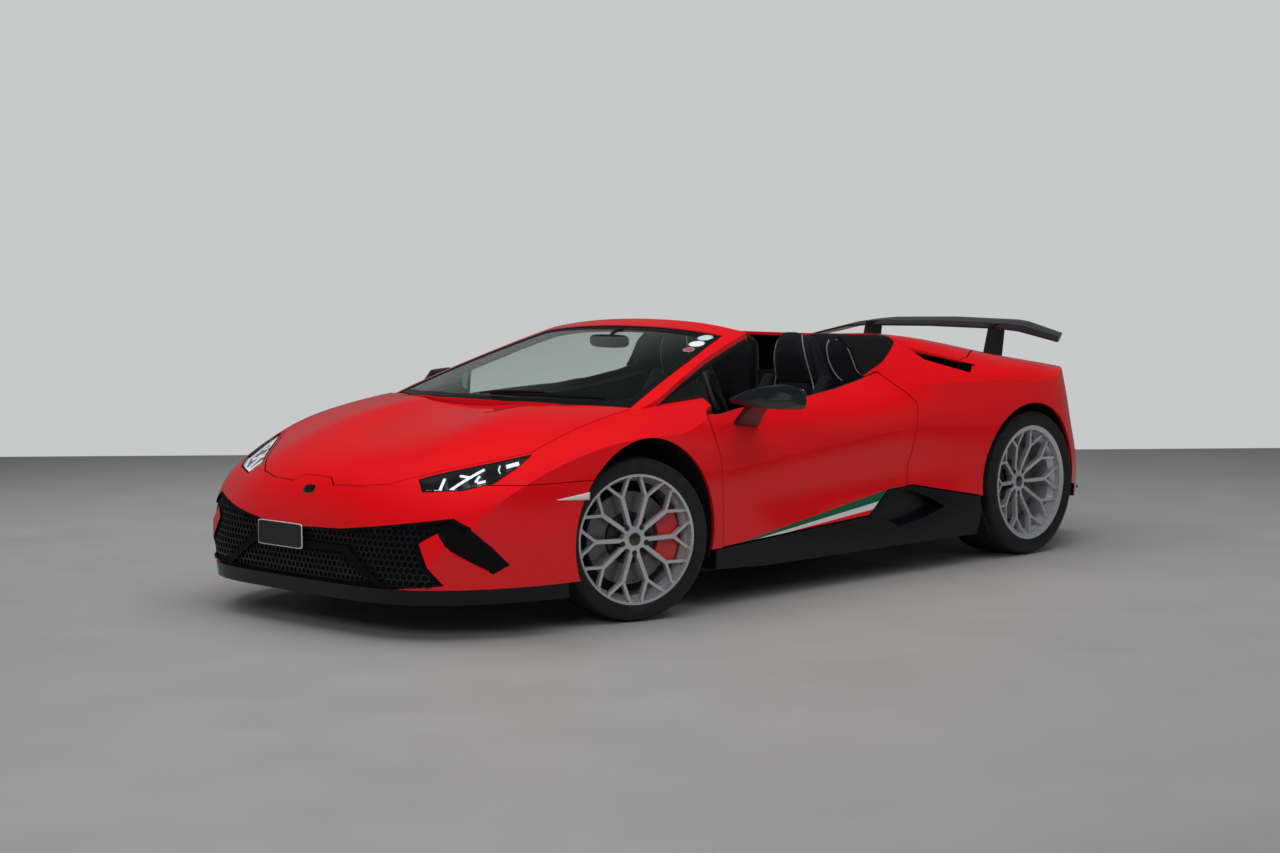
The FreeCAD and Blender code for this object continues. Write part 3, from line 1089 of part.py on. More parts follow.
DIFFUSER_FRONT = TAIL_RIB_BACK - SEATED
DIFFUSER_TOP = TAIL_BOTTOM - SEATED
DIFFUSER_HALF = 640
FIN_THICK = 10
fin_places = (-500, -250, 0, 250, 500)
floor_sheet = prism([(DIFFUSER_FRONT, 158), (along(-2225), 228), (along(-2235), 228), (along(-2235), DIFFUSER_TOP),
                     (along(-2000), DIFFUSER_TOP), (DIFFUSER_FRONT, 200)], "y", -DIFFUSER_HALF, DIFFUSER_HALF)
fin_outline = [(along(-1900), 138), (along(-2200), 188), (along(-2230), 232), (along(-1900), 180)]
diffuser_fins = [prism(fin_outline, "y", y - FIN_THICK / 2, y + FIN_THICK / 2) for y in fin_places]
diffuser = biggest(fused(floor_sheet, *diffuser_fins))

# Fixed triangular glass between the windscreen pillar and the front of each door
QUARTER_LIGHT = side_outline([(985, 840), (640, 772), (690, 955)])
light_tilt = FreeCAD.Rotation(V(1, 0, 0), 14)
light_root = V(0, 782 * SIDE, 775)
quarter_light = prism([(x, z - light_root.z) for x, z in QUARTER_LIGHT], "y", -2.5, 2.5)
quarter_light = placed(quarter_light, FreeCAD.Placement(light_root, light_tilt))
quarter_light = biggest(quarter_light.cut([fender, screen_frame, door_left]))

NODES = {
    "front_bumper": bumper, "fenders": both(fender), "hood": hood, "head_lamps": lamp, "front_grille": insert,
    "splitter": splitter, "door_left": door_left, "door_right": door_right, "windscreen_frame": screen_frame,
    "windscreen": glass, "quarters": both(quarter), "engine_cover": lid, "rear_deck": deck, "rear_bumper": tail,
    "rear_grille": tail_plate, "front_frame": Part.makeCompound([tray, flange, mirrored(flange)] + ribs), "cowl": cowl,
    "front_liners": both(front_liner), "rear_liners": both(rear_liner), "side_skirts": both(skirt),
    "rear_frame": rear_frame, "front_arms": Part.makeCompound(front_arms),
    "rear_suspension": Part.makeCompound(rear_corners),
    "rear_calipers": Part.makeCompound([corner["rl"]["caliper"], corner["rr"]["caliper"]]),
    "seats": Part.makeCompound(seats), "dashboard": dash, "steering_wheel": steering, "console": console,
    "rear_trim": humps, "wing": wing, "wing_pylons": pylons, "mirror_left": mirror, "mirror_right": mirrored(mirror),
    "quarter_lights": both(quarter_light),
    "exhaust": Part.makeCompound(pipes), "diffuser": diffuser, "tail_lamps": both(tail_lamp),
}
for name, label in (("fl", "left"), ("fr", "right")):
    NODES["knuckle_" + label] = corner[name]["carrier"]
    NODES["caliper_" + label] = corner[name]["caliper"]
for name in WHEELS:
    NODES["rim_" + name] = corner[name]["rim"]
    NODES["tyre_" + name] = corner[name]["tyre"]
for name, shape in NODES.items():
    keep(name, shape)
parts += [tub, engine]
doc.recompute()

failed = [item.Name for item in doc.Objects if "Invalid" in item.State or "Error" in item.State]
failed += [part.Label for part in parts if part.Shape.isNull() or not part.Shape.isValid()]
failed += [part.Label for part in parts if part.Label not in failed and not part.Shape.Solids]
if failed:
    raise RuntimeError("not built: " + ", ".join(failed))

os.makedirs("parts", exist_ok=True)
for part in parts:
    part.Shape.exportStep("parts/%s.step" % part.Label)
    print(part.Label, len(part.Shape.Solids), round(part.Shape.Volume / 1e6, 2))
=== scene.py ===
import json

import bmesh
import bpy
import numpy as np
from mathutils import Matrix, Vector


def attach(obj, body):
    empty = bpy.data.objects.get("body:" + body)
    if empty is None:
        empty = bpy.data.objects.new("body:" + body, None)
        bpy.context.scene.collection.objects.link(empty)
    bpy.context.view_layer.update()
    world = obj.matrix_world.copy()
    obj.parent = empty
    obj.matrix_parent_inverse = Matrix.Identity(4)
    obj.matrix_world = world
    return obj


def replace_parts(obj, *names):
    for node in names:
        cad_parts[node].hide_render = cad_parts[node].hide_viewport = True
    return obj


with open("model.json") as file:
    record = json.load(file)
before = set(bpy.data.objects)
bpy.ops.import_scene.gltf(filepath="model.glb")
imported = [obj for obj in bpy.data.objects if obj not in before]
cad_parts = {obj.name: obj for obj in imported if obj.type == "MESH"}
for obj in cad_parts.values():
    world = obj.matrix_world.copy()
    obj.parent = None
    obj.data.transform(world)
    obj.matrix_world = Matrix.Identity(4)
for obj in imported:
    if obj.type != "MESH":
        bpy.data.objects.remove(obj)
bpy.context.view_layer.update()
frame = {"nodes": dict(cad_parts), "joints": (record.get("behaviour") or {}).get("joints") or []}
nodes = frame["nodes"]
joints = {joint["name"]: joint for joint in frame["joints"]}
finishes = {}
print("frame loaded:", len(nodes), "nodes")


class Wire:
    # A node's output socket; Python arithmetic on it adds Math nodes to its tree
    def __init__(self, tree, socket=None):
        self.tree = tree
        self.socket = socket

    # Adds any node: its settings first, then values or links for its sockets; out picks the output
    def node(self, kind, settings=None, inputs=None, out=0):
        made = self.tree.nodes.new("ShaderNode" + kind)
        for name, value in (settings or {}).items():
            setattr(made, name, value)
        for name, value in (inputs or {}).items():
            if isinstance(value, Wire):
                self.tree.links.new(value.socket, made.inputs[name])
            else:
                made.inputs[name].default_value = value
        return Wire(self.tree, made.outputs[out])

    def maths(self, operation, first, second=0.0, clamp=False):
        return self.node("Math", {"operation": operation, "use_clamp": clamp}, {0: first, 1: second})

    def vector(self, operation, inputs, out=0):
        return self.node("VectorMath", {"operation": operation}, inputs, out)

    def __add__(self, other):
        return self.maths("ADD", self, other)

    __radd__ = __add__

    def __mul__(self, other):
        return self.maths("MULTIPLY", self, other)

    __rmul__ = __mul__

    def __sub__(self, other):
        return self.maths("SUBTRACT", self, other)

    def __rsub__(self, other):
        return self.maths("SUBTRACT", other, self)

    def __gt__(self, other):
        return self.maths("GREATER_THAN", self, other)

    def __lt__(self, other):
        return self.maths("LESS_THAN", self, other)

    def wave(self):
        return self.maths("SINE", self)

    # 0 at low, 1 at high, straight in between
    def ease(self, low, high):
        return self.maths("MULTIPLY", self - low, 1.0 / (high - low), clamp=True)

    def mixed(self, first, second):
        return self.node("Mix", {"data_type": "RGBA"}, {0: self, 6: first, 7: second}, 2)

    def parts(self):
        split = self.node("SeparateXYZ", inputs={0: self})
        return [split] + [Wire(self.tree, split.socket.node.outputs[i]) for i in (1, 2)]

    def noise(self, scale, detail=3.0, rough=0.5):
        return self.node("TexNoise", inputs={"Vector": self, "Scale": scale, "Detail": detail, "Roughness": rough})

    def bump(self, strength):
        return self.node("Bump", inputs={"Height": self, "Strength": strength, "Distance": 0.001})


def rgb(red, green, blue):
    return red, green, blue, 1.0


# A Principled material with plain values; returns the wire of the point on the object, and the shader
def newMaterial(name, colour, roughness, **plain):
    finishes[name] = bpy.data.materials.new(name)
    finishes[name].use_nodes = True
    tree = finishes[name].node_tree
    shader = tree.nodes["Principled BSDF"]
    for key, value in {"Base_Color": colour, "Roughness": roughness, **plain}.items():
        shader.inputs[key.replace("_", " ")].default_value = value
    return Wire(tree).node("TexCoord", out="Object"), shader


def link(shader, **wires):
    for key, wire in wires.items():
        wire.tree.links.new(wire.socket, shader.inputs[key.replace("_", " ")])


# Paint with two stripes along the belt; the quarters are black above the corners of zoneLine
paintLook = {"red": rgb(0.84, 0.0052, 0.0095), "deep": rgb(0.68, 0.0030, 0.0080), "peelScale": 420.0, "peel": 0.012,
             "stripeGreen": rgb(0.010, 0.115, 0.052), "stripeWhite": rgb(0.74, 0.74, 0.72),
             "stripeTip": (0.846, 0.231), "greenRear": (-0.375, 0.397), "whiteTop": (-0.326, 0.350),
             "whiteLow": (-0.298, 0.319), "bodySide": 0.80, "stripeEnd": -0.40,
             "zoneLine": ((-0.348, 0.891), (-0.503, 0.950), (-0.662, 1.034), (-0.690, 1.100)),
             "zoneBlack": rgb(0.010, 0.010, 0.011)}


# Height above the straight line through two (x, z) points, in metres
def aboveLine(x, z, first, second):
    slope = (second[1] - first[1]) / (second[0] - first[0])
    return z - ((x - first[0]) * slope + first[1])


for name in ("redPaint", "redPaintQuarters"):
    look, tip = paintLook, paintLook["stripeTip"]
    spot, shader = newMaterial(name, look["red"], 0.32, Coat_Weight=1.0, Coat_Roughness=0.02, Coat_IOR=1.42,
                               Specular_IOR_Level=0.05)
    x, y, z = spot.parts()
    base = (spot.noise(2.4, 2.0) * 0.5).mixed(look["red"], look["deep"])
    belt = (spot.maths("ABSOLUTE", y) > look["bodySide"]) * ((x > look["stripeEnd"]) * (x < tip[0]))
    underGreen = aboveLine(x, z, tip, look["greenRear"]) < 0.0
    underWhite = aboveLine(x, z, tip, look["whiteTop"]) < 0.0
    overWhite = aboveLine(x, z, tip, look["whiteLow"]) > 0.0
    base = (belt * underGreen * (1 - underWhite)).mixed(base, look["stripeGreen"])
    base = (belt * underWhite * overWhite).mixed(base, look["stripeWhite"])
    if name == "redPaintQuarters":
        low, middle, high = (aboveLine(x, z, *pair) > 0.0 for pair in zip(look["zoneLine"], look["zoneLine"][1:]))
        zone = low * middle * high
        base = zone.mixed(base, look["zoneBlack"])
        link(shader, Coat_Weight=1.0 - zone)
    link(shader, Base_Color=base, Roughness=spot.noise(90.0, 4.0) * 0.10 + 0.27,
         Normal=spot.noise(look["peelScale"], 1.0).bump(look["peel"]))

# Plain plastics, metals and rubbers: colour, roughness, other plain values, grain size per metre, bump strength, and
# how much the gloss varies
finishLook = {
    "satinBlack": (rgb(0.006, 0.0065, 0.0085), 0.38, {"Coat_Weight": 0.10, "Coat_Roughness": 0.3}, 700.0, 0.05, 0.10),
    "grainPlastic": (rgb(0.008, 0.008, 0.009), 0.62, {}, 1500.0, 0.35, 0.12),
    "darkMetal": (rgb(0.06, 0.062, 0.066), 0.46, {"Metallic": 0.6}, 240.0, 0.06, 0.16),
    "glossBlack": (rgb(0.008, 0.009, 0.011), 0.30, {"Coat_Weight": 0.7, "Coat_Roughness": 0.10}, 420.0, 0.03, 0.08),
    "castMetal": (rgb(0.22, 0.22, 0.225), 0.5, {"Metallic": 0.9}, 600.0, 0.3, 0.15),
    "rubberTrim": (rgb(0.010, 0.010, 0.010), 0.7, {}, 900.0, 0.15, 0.1),
    "brightSteel": (rgb(0.55, 0.55, 0.56), 0.22, {"Metallic": 1.0}, 300.0, 0.02, 0.1),
    "caliperRed": (rgb(0.55, 0.010, 0.010), 0.3, {"Coat_Weight": 0.8, "Coat_Roughness": 0.08}, 260.0, 0.06, 0.1),
    "capBlack": (rgb(0.006, 0.006, 0.007), 0.2, {"Coat_Weight": 1.0, "Coat_Roughness": 0.05}, 300.0, 0.02, 0.05),
    "plateBlack": (rgb(0.012, 0.012, 0.013), 0.42, {}, 500.0, 0.04, 0.1),
    "plateEdge": (rgb(0.72, 0.72, 0.70), 0.35, {}, 500.0, 0.03, 0.1),
    "badgeGold": (rgb(0.62, 0.42, 0.13), 0.26, {"Metallic": 1.0}, 400.0, 0.05, 0.1),
    "reflector": (rgb(0.72, 0.70, 0.64), 0.18, {"Coat_Weight": 1.0, "Coat_Roughness": 0.04}, 900.0, 0.3, 0.05),
    "stickerWhite": (rgb(0.74, 0.76, 0.77), 0.4, {}, 500.0, 0.03, 0.1),
    "stickerBlue": (rgb(0.46, 0.60, 0.64), 0.4, {}, 500.0, 0.03, 0.1),
    "pipingGrey": (rgb(0.20, 0.205, 0.215), 0.5, {}, 500.0, 0.1, 0.1),
    "splitterBlack": (rgb(0.004, 0.0045, 0.006), 0.34, {"Specular_IOR_Level": 0.22, "Coat_Weight": 0.12,
                                                        "Coat_Roughness": 0.15}, 500.0, 0.05, 0.10),
    "stickerRed": (rgb(0.36, 0.05, 0.10), 0.4, {}, 500.0, 0.03, 0.1),
    "lampHousing": (rgb(0.006, 0.0065, 0.008), 0.30, {"Coat_Weight": 0.4, "Coat_Roughness": 0.1}, 500.0, 0.05, 0.1),
    "chrome": (rgb(0.78, 0.79, 0.80), 0.08, {"Metallic": 1.0}, 300.0, 0.01, 0.04),
    "frit": (rgb(0.006, 0.007, 0.008), 0.25, {}, 400.0, 0.02, 0.05)}
for name, (colour, roughness, plain, grain, strength, spread) in finishLook.items():
    spot, shader = newMaterial(name, colour, roughness, **plain)
    wide = spot.noise(14.0, 4.0)
    dust = rgb(*(min(1.0, c * 1.5 + 0.002) for c in colour[:3]))
    link(shader, Base_Color=(wide * 0.5).mixed(colour, dust), Roughness=wide * spread + (roughness - spread / 2),
         Normal=spot.noise(grain, 3.0).bump(strength))

# Leather with a fine grain and creases, and suede with a nap
leatherLook = {"black": rgb(0.007, 0.0075, 0.009), "worn": rgb(0.014, 0.015, 0.018), "grain": 520.0}
spot, shader = newMaterial("blackLeather", leatherLook["black"], 0.5, Sheen_Weight=0.03, Sheen_Roughness=0.5)
cells = spot.node("TexVoronoi", {"feature": "DISTANCE_TO_EDGE"}, {"Vector": spot, "Scale": leatherLook["grain"]})
creases = spot.noise(60.0, 5.0, 0.6)
link(shader, Base_Color=(creases * 0.7).mixed(leatherLook["black"], leatherLook["worn"]),
     Roughness=creases * 0.2 + 0.4, Normal=(cells.ease(0.0, 0.12) + creases * 0.4).bump(0.25))
suedeLook = {"black": rgb(0.005, 0.005, 0.0065), "nap": rgb(0.012, 0.0125, 0.015), "scale": 900.0}
spot, shader = newMaterial("blackSuede", suedeLook["black"], 0.9, Sheen_Weight=0.10, Sheen_Roughness=0.4)
nap, brushed = spot.noise(suedeLook["scale"], 4.0, 0.7), spot.noise(18.0, 3.0)
link(shader, Base_Color=(nap * 0.5 + brushed * 0.5).ease(0.35, 0.75).mixed(suedeLook["black"], suedeLook["nap"]),
     Roughness=brushed * 0.1 + 0.82, Normal=nap.bump(0.3))

# Flat black of the grilles, and the tyres' rubber with a little dust
grilleLook = {"black": rgb(0.003, 0.003, 0.0035), "low": rgb(0.002, 0.002, 0.0025), "high": rgb(0.006, 0.006, 0.007)}
spot, shader = newMaterial("grilleBlack", grilleLook["black"], 0.6, Specular_IOR_Level=0.15)
wide = spot.noise(20.0, 3.0)
link(shader, Base_Color=wide.mixed(grilleLook["low"], grilleLook["high"]), Roughness=wide * 0.2 + 0.5,
     Normal=spot.noise(800.0).bump(0.1))
tyreLook = {"rubber": rgb(0.009, 0.009, 0.0095), "dusty": rgb(0.026, 0.0255, 0.025)}
spot, shader = newMaterial("tyreRubber", tyreLook["rubber"], 0.72)
dust = spot.noise(26.0, 5.0, 0.6)
link(shader, Base_Color=dust.ease(0.45, 0.95).mixed(tyreLook["rubber"], tyreLook["dusty"]),
     Roughness=dust * 0.2 + 0.55, Normal=spot.noise(700.0, 4.0).bump(0.2))

# Glass: its colour and the tint of its film; lights: colour and strength, dimmed by fine ribs
glassLook = {"screenGlass": (rgb(0.74, 0.86, 0.81), rgb(0.70, 0.83, 0.78)),
             # the side glass is tinted, and darkened further as painted shade for the dim cabin seen through it
             "sideGlass": (rgb(0.24, 0.29, 0.27), rgb(0.20, 0.25, 0.23)),
             "lampGlass": (rgb(0.95, 0.96, 0.97), rgb(0.90, 0.91, 0.93)),
             "tailGlass": (rgb(0.55, 0.01, 0.01), rgb(0.40, 0.01, 0.01))}
lightLook = {"whiteLight": (rgb(0.92, 0.95, 1.0), 1.2), "redLight": (rgb(0.9, 0.02, 0.02), 0.6)}
for name, (colour, tint) in glassLook.items():
    spot, shader = newMaterial(name, colour, 0.0, IOR=1.45, Transmission_Weight=1.0)
    link(shader, Base_Color=spot.noise(6.0, 4.0).mixed(colour, tint),
         Roughness=spot.noise(3.0, 5.0).ease(0.3, 0.9) * 0.004)
for name, (colour, strength) in lightLook.items():
    spot, shader = newMaterial(name, colour, 0.3, Emission_Strength=strength)
    ribs = (spot.parts()[1] * 900.0).wave() * 0.12 + 0.88
    link(shader, Emission_Color=ribs.mixed(rgb(0.2, 0.2, 0.2), colour), Roughness=spot.noise(60.0) * 0.1 + 0.2)

# Silver rim: brushed rings about the wheel's own axis, with the brake disc behind it in bare steel
rimLook = {"silver": rgb(0.66, 0.67, 0.69), "shade": rgb(0.48, 0.49, 0.51), "disc": rgb(0.16, 0.16, 0.165),
           "discRadius": 0.188, "rings": 2600.0, "hatDark": rgb(0.03, 0.03, 0.032), "hatRadius": 0.105}


# Radius is the length of the point's part at right angles to the axis; the disc lies within its radius and discOut
def makeRim(name, centre, axis, discOut):
    spot, shader = newMaterial(name, rimLook["silver"], 0.30, Metallic=0.6, Coat_Weight=0.5, Coat_Roughness=0.08)
    flat = spot.vector("SUBTRACT", {0: spot, 1: tuple(centre)})
    out = spot.vector("DOT_PRODUCT", {0: flat, 1: tuple(axis)}, "Value")
    along = spot.vector("SCALE", {0: tuple(axis), "Scale": out})
    radius = spot.vector("LENGTH", {0: spot.vector("SUBTRACT", {0: flat, 1: along})}, "Value")
    rings = (radius * rimLook["rings"]).wave() * 0.5 + 0.5
    streak = spot.noise(40.0, 4.0)
    steel = (radius < rimLook["discRadius"]) * (out < discOut)
    colour = steel.mixed((streak * 0.6).mixed(rimLook["silver"], rimLook["shade"]), rimLook["disc"])
    colour = (steel * (radius < rimLook["hatRadius"])).mixed(colour, rimLook["hatDark"])
    link(shader, Base_Color=colour, Roughness=rings * 0.05 + streak * 0.12 + 0.16 + steel * 0.12,
         Normal=(rings * 0.2 + streak * 0.3).bump(0.05))
    return finishes[name]


print("materials made")


def newPiece(name, points, faces, finish, body="root", smooth=True):
    mesh = bpy.data.meshes.new(name)
    mesh.from_pydata(points.reshape(-1, 3).tolist(), [], faces)
    mesh.validate()
    mesh.materials.append(finishes[finish])
    piece = bpy.data.objects.new(name, mesh)
    bpy.context.scene.collection.objects.link(piece)
    work = bmesh.new()
    work.from_mesh(mesh)
    bmesh.ops.remove_doubles(work, verts=work.verts, dist=1e-6)
    bmesh.ops.recalc_face_normals(work, faces=work.faces)
    work.to_mesh(mesh)
    work.free()
    mesh.polygons.foreach_set("use_smooth", [smooth] * len(mesh.polygons))
    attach(piece, body)
    return piece


# Quads of a grid of rows x columns; a closed way joins its last line to its first
def gridFaces(rows, columns, closeRows, closeColumns, start):
    index = np.arange(rows * columns).reshape(rows, columns) + start
    if closeRows:
        index = np.vstack([index, index[:1]])
    if closeColumns:
        index = np.hstack([index, index[:, :1]])
    return np.stack([index[:-1, :-1], index[:-1, 1:], index[1:, 1:], index[1:, :-1]], -1).reshape(-1, 4).tolist()


# Several grids as one mesh; each is (points, closeRows, closeColumns, capped), as the five names below give it
def gridsPiece(name, grids, finish, body="root", smooth=True):
    points, faces, start = [], [], 0
    for grid, closeRows, closeColumns, capped in grids:
        rows, columns = grid.shape[:2]
        faces += gridFaces(rows, columns, closeRows, closeColumns, start)
        if capped:
            faces += [list(range(start, start + columns)),
                      list(range(start + (rows - 1) * columns, start + rows * columns))]
        points.append(grid.reshape(-1, 3))
        start += rows * columns
    return newPiece(name, np.concatenate(points), faces, finish, body, smooth)


def sheet(grid):
    return grid, False, False, False


def rounded(grid):
    return grid, False, True, False


def tube(grid):
    return grid, False, True, True


def hoop(grid):
    return grid, True, True, False


def spun(grid):
    return grid, True, False, False


# Unit vectors at each point of a path: along it, across it (along x up), and at right angles to both
def pathAxes(path, up, closed=False):
    way = np.roll(path, -1, 0) - np.roll(path, 1, 0) if closed else np.gradient(path, axis=0)
    way /= np.linalg.norm(way, axis=1, keepdims=True)
    side = np.cross(way, np.broadcast_to(np.asarray(up, float), way.shape))
    side /= np.linalg.norm(side, axis=1, keepdims=True)
    return way, side, np.cross(side, way)


# A profile carried along a path: each point is path + first number x side + second number x top
def swept(path, profile, up=(0, 0, 1), closed=False):
    path = np.asarray(path, float)
    way, side, top = pathAxes(path, up, closed)
    return path[:, None] + profile[None, :, :1] * side[:, None] + profile[None, :, 1:] * top[:, None]


# A superellipse of the given half sizes: power 2 is an oval, a high power a rounded rectangle
def softProfile(halfWide, halfHigh, count=20, power=4.0):
    turn = np.linspace(0, 2 * np.pi, count, endpoint=False)
    c, s = np.cos(turn), np.sin(turn)
    return np.stack([np.sign(c) * np.abs(c) ** (2 / power) * halfWide,
                     np.sign(s) * np.abs(s) ** (2 / power) * halfHigh], 1)


def ringProfile(radius, count=16):
    return softProfile(radius, radius, count, 2.0)


# Straight runs between the points with their corners eased: a uniform quadratic curve through the run middles
def easedPath(points, steps=8):
    points = np.asarray(points, float)
    ends = np.vstack([points[:1], (points[:-1] + points[1:]) / 2, points[-1:]])
    t = np.linspace(0, 1, steps, endpoint=False)[:, None]
    runs = [(1 - t) ** 2 * ends[i] + 2 * t * (1 - t) * points[i] + t ** 2 * ends[i + 1]
            for i in range(1, len(points) - 1)]
    return np.vstack([ends[:1]] + runs + [ends[-2:]])


# Closed outline with its corners eased; cut is the share of each run that its corners take
def easedLoop(points, steps=6, cut=0.5):
    before = points + (np.roll(points, 1, 0) - points) * cut
    after = points + (np.roll(points, -1, 0) - points) * cut
    t = np.linspace(0, 1, steps, endpoint=False)[None, :, None]
    curve = (1 - t) ** 2 * before[:, None] + 2 * t * (1 - t) * points[:, None] + t ** 2 * after[:, None]
    return curve.reshape(-1, points.shape[1])


# The points of a grid dropped along one axis on an object's outer face; one that misses takes the nearest one's level
def laid(grid, target, axis, offset=0.0):
    mesh = bpy.data.meshes.new("probe")
    mesh.from_pydata(grid.reshape(-1, 3).tolist(), [], [])
    probe = bpy.data.objects.new("probe", mesh)
    bpy.context.scene.collection.objects.link(probe)
    wrap = probe.modifiers.new("settle", "SHRINKWRAP")
    wrap.target = nodes[target] if isinstance(target, str) else target
    wrap.wrap_method = "PROJECT"
    setattr(wrap, "use_project_" + axis, True)
    wrap.use_positive_direction = wrap.use_negative_direction = True
    wrap.wrap_mode = "ABOVE_SURFACE"
    wrap.offset = offset
    bpy.context.view_layer.update()
    done = probe.evaluated_get(bpy.context.evaluated_depsgraph_get()).data
    flat = np.empty(len(done.vertices) * 3)
    done.vertices.foreach_get("co", flat)
    bpy.data.objects.remove(probe)
    bpy.data.meshes.remove(mesh)
    start, flat = grid.reshape(-1, 3), flat.reshape(-1, 3)
    column = "xyz".index(axis)
    others = [i for i in range(3) if i != column]
    missed = np.abs(flat[:, column] - start[:, column]) < 1e-7
    if missed.any():
        apart = start[missed][:, None, others] - start[~missed][None][:, :, others]
        nearest = np.argmin((apart ** 2).sum(-1), 1)
        flat[missed] = start[missed]
        flat[missed, column] = flat[~missed][nearest, column]
    return flat.reshape(grid.shape)


# Points spaced evenly along a polyline
def evenly(points, count):
    reach = np.concatenate([[0.0], np.cumsum(np.linalg.norm(np.diff(points, axis=0), axis=1))])
    places = np.linspace(0.0, reach[-1], count)
    return np.stack([np.interp(places, reach, column) for column in points.T], 1)


# Rows of points from one edge to another
def bridged(first, second, rows):
    share = np.linspace(0.0, 1.0, rows)[:, None, None]
    return first[None] * (1 - share) + second[None] * share


# A flat grid stood in the car: its two numbers are the axes other than the named one, which holds the level
def stood(flat, axis, level):
    flatLevel = np.full(flat.shape[:-1] + (1,), level)
    order = {"x": (flatLevel, flat), "z": (flat, flatLevel), "y": (flat[..., :1], flatLevel, flat[..., 1:])}[axis]
    return np.concatenate(order, -1)


# Rows of a strip of even width about a flat line
def ribbon(path, width, count, rows=3):
    path = evenly(path, count)
    way = np.gradient(path, axis=0)
    across = np.stack([-way[:, 1], way[:, 0]], 1)
    across /= np.linalg.norm(across, axis=1, keepdims=True)
    return path[None] + across[None] * np.linspace(-0.5, 0.5, rows)[:, None, None] * width


# Rings of a closed outline that shrink to its middle
def discs(outline, rings=4):
    middle = outline.mean(axis=0)
    return middle + (outline - middle) * np.linspace(1.0, 0.0, rings)[:, None, None]


def bothSides(grid):
    return [grid, grid * np.array([1.0, -1.0, 1.0])]


def metres(points):
    return np.asarray(points, float) / 1000.0


def thicken(piece, depth, side=-1.0):
    wall = piece.modifiers.new("wall", "SOLIDIFY")
    wall.thickness = depth
    wall.offset = side
    return piece


# Flat grids laid on a CAD node as one piece and given a thickness
def decal(name, flats, node, axis, level, lift, thick, finish, kind=sheet, mirror=False):
    grids = [laid(stood(flat, axis, level), node, axis, lift) for flat in flats]
    if mirror:
        grids = [side for grid in grids for side in bothSides(grid)]
    return thicken(gridsPiece(name, [kind(grid) for grid in grids], finish), thick)


# Middles and normals of a mesh's faces, as rows
def faceRows(mesh):
    rows = []
    for key in ("center", "normal"):
        flat = np.empty(len(mesh.polygons) * 3)
        mesh.polygons.foreach_get(key, flat)
        rows.append(flat.reshape(-1, 3))
    return rows


def dress(name, material):
    nodes[name].data.materials.clear()
    nodes[name].data.materials.append(material)


# Wheels: sizes by axle, and whether a wheel's first bolt points up or down
wheelSizes = {"f": {"radius": 0.3275, "halfWide": 0.1225, "hubOut": 0.086, "discOut": 0.050},
              "r": {"radius": 0.3455, "halfWide": 0.1525, "hubOut": 0.070, "discOut": 0.034}}
firstBolts = {"fl": -1.0, "fr": 1.0, "rl": -1.0, "rr": -1.0}
tyreShape = {"bead": 0.254, "flange": 0.2645, "around": 300, "across": 57, "treadHalf": 0.86, "crownFall": 0.006,
             "shoulder": ((0.93, 0.0125), (0.975, 0.024), (0.995, 0.036), (0.99, 0.047), (0.955, 0.056)),
             "wallFoot": 0.90, "lipIn": 0.93, "grooves": (-0.62, -0.22, 0.22, 0.62), "grooveHalf": 0.035,
             "grooveDeep": 0.0065, "sipes": 75, "sipeDeep": 0.004, "sipeLong": 0.25, "sipeSlant": 1.6,
             "sipesFrom": 0.26, "ribs": 120, "ribHigh": 0.0006, "ribsFrom": 0.97}
hubShape = {"capRadius": 0.0275, "capCrown": 0.004, "ringRadius": 0.0285, "ringThick": 0.0018, "boltCircle": 0.056,
            "boltRadius": 0.0095, "boltLong": 0.016, "boltDeep": 0.020, "bolts": 5}


# Centre, outward axis and two radial axes of a wheel, from its spin joint
def wheelAxes(corner):
    joint = joints["wheel_%s_spin" % corner]
    axis = np.array(joint["axis"], float) * (1.0 if corner.endswith("l") else -1.0)
    axis /= np.linalg.norm(axis)
    up = np.array([0.0, 0.0, 1.0])
    return np.array(joint["pos_m"], float), axis, np.cross(up, axis), up


# A profile of (distance out, radius) turned about an axis
def turned(profile, centre, axis, first, second, count=48):
    turn = np.linspace(0, 2 * np.pi, count, endpoint=False)
    spin = np.cos(turn)[:, None, None] * first + np.sin(turn)[:, None, None] * second
    profile = np.asarray(profile, float)
    return centre + profile[None, :, :1] * axis + profile[None, :, 1:] * spin


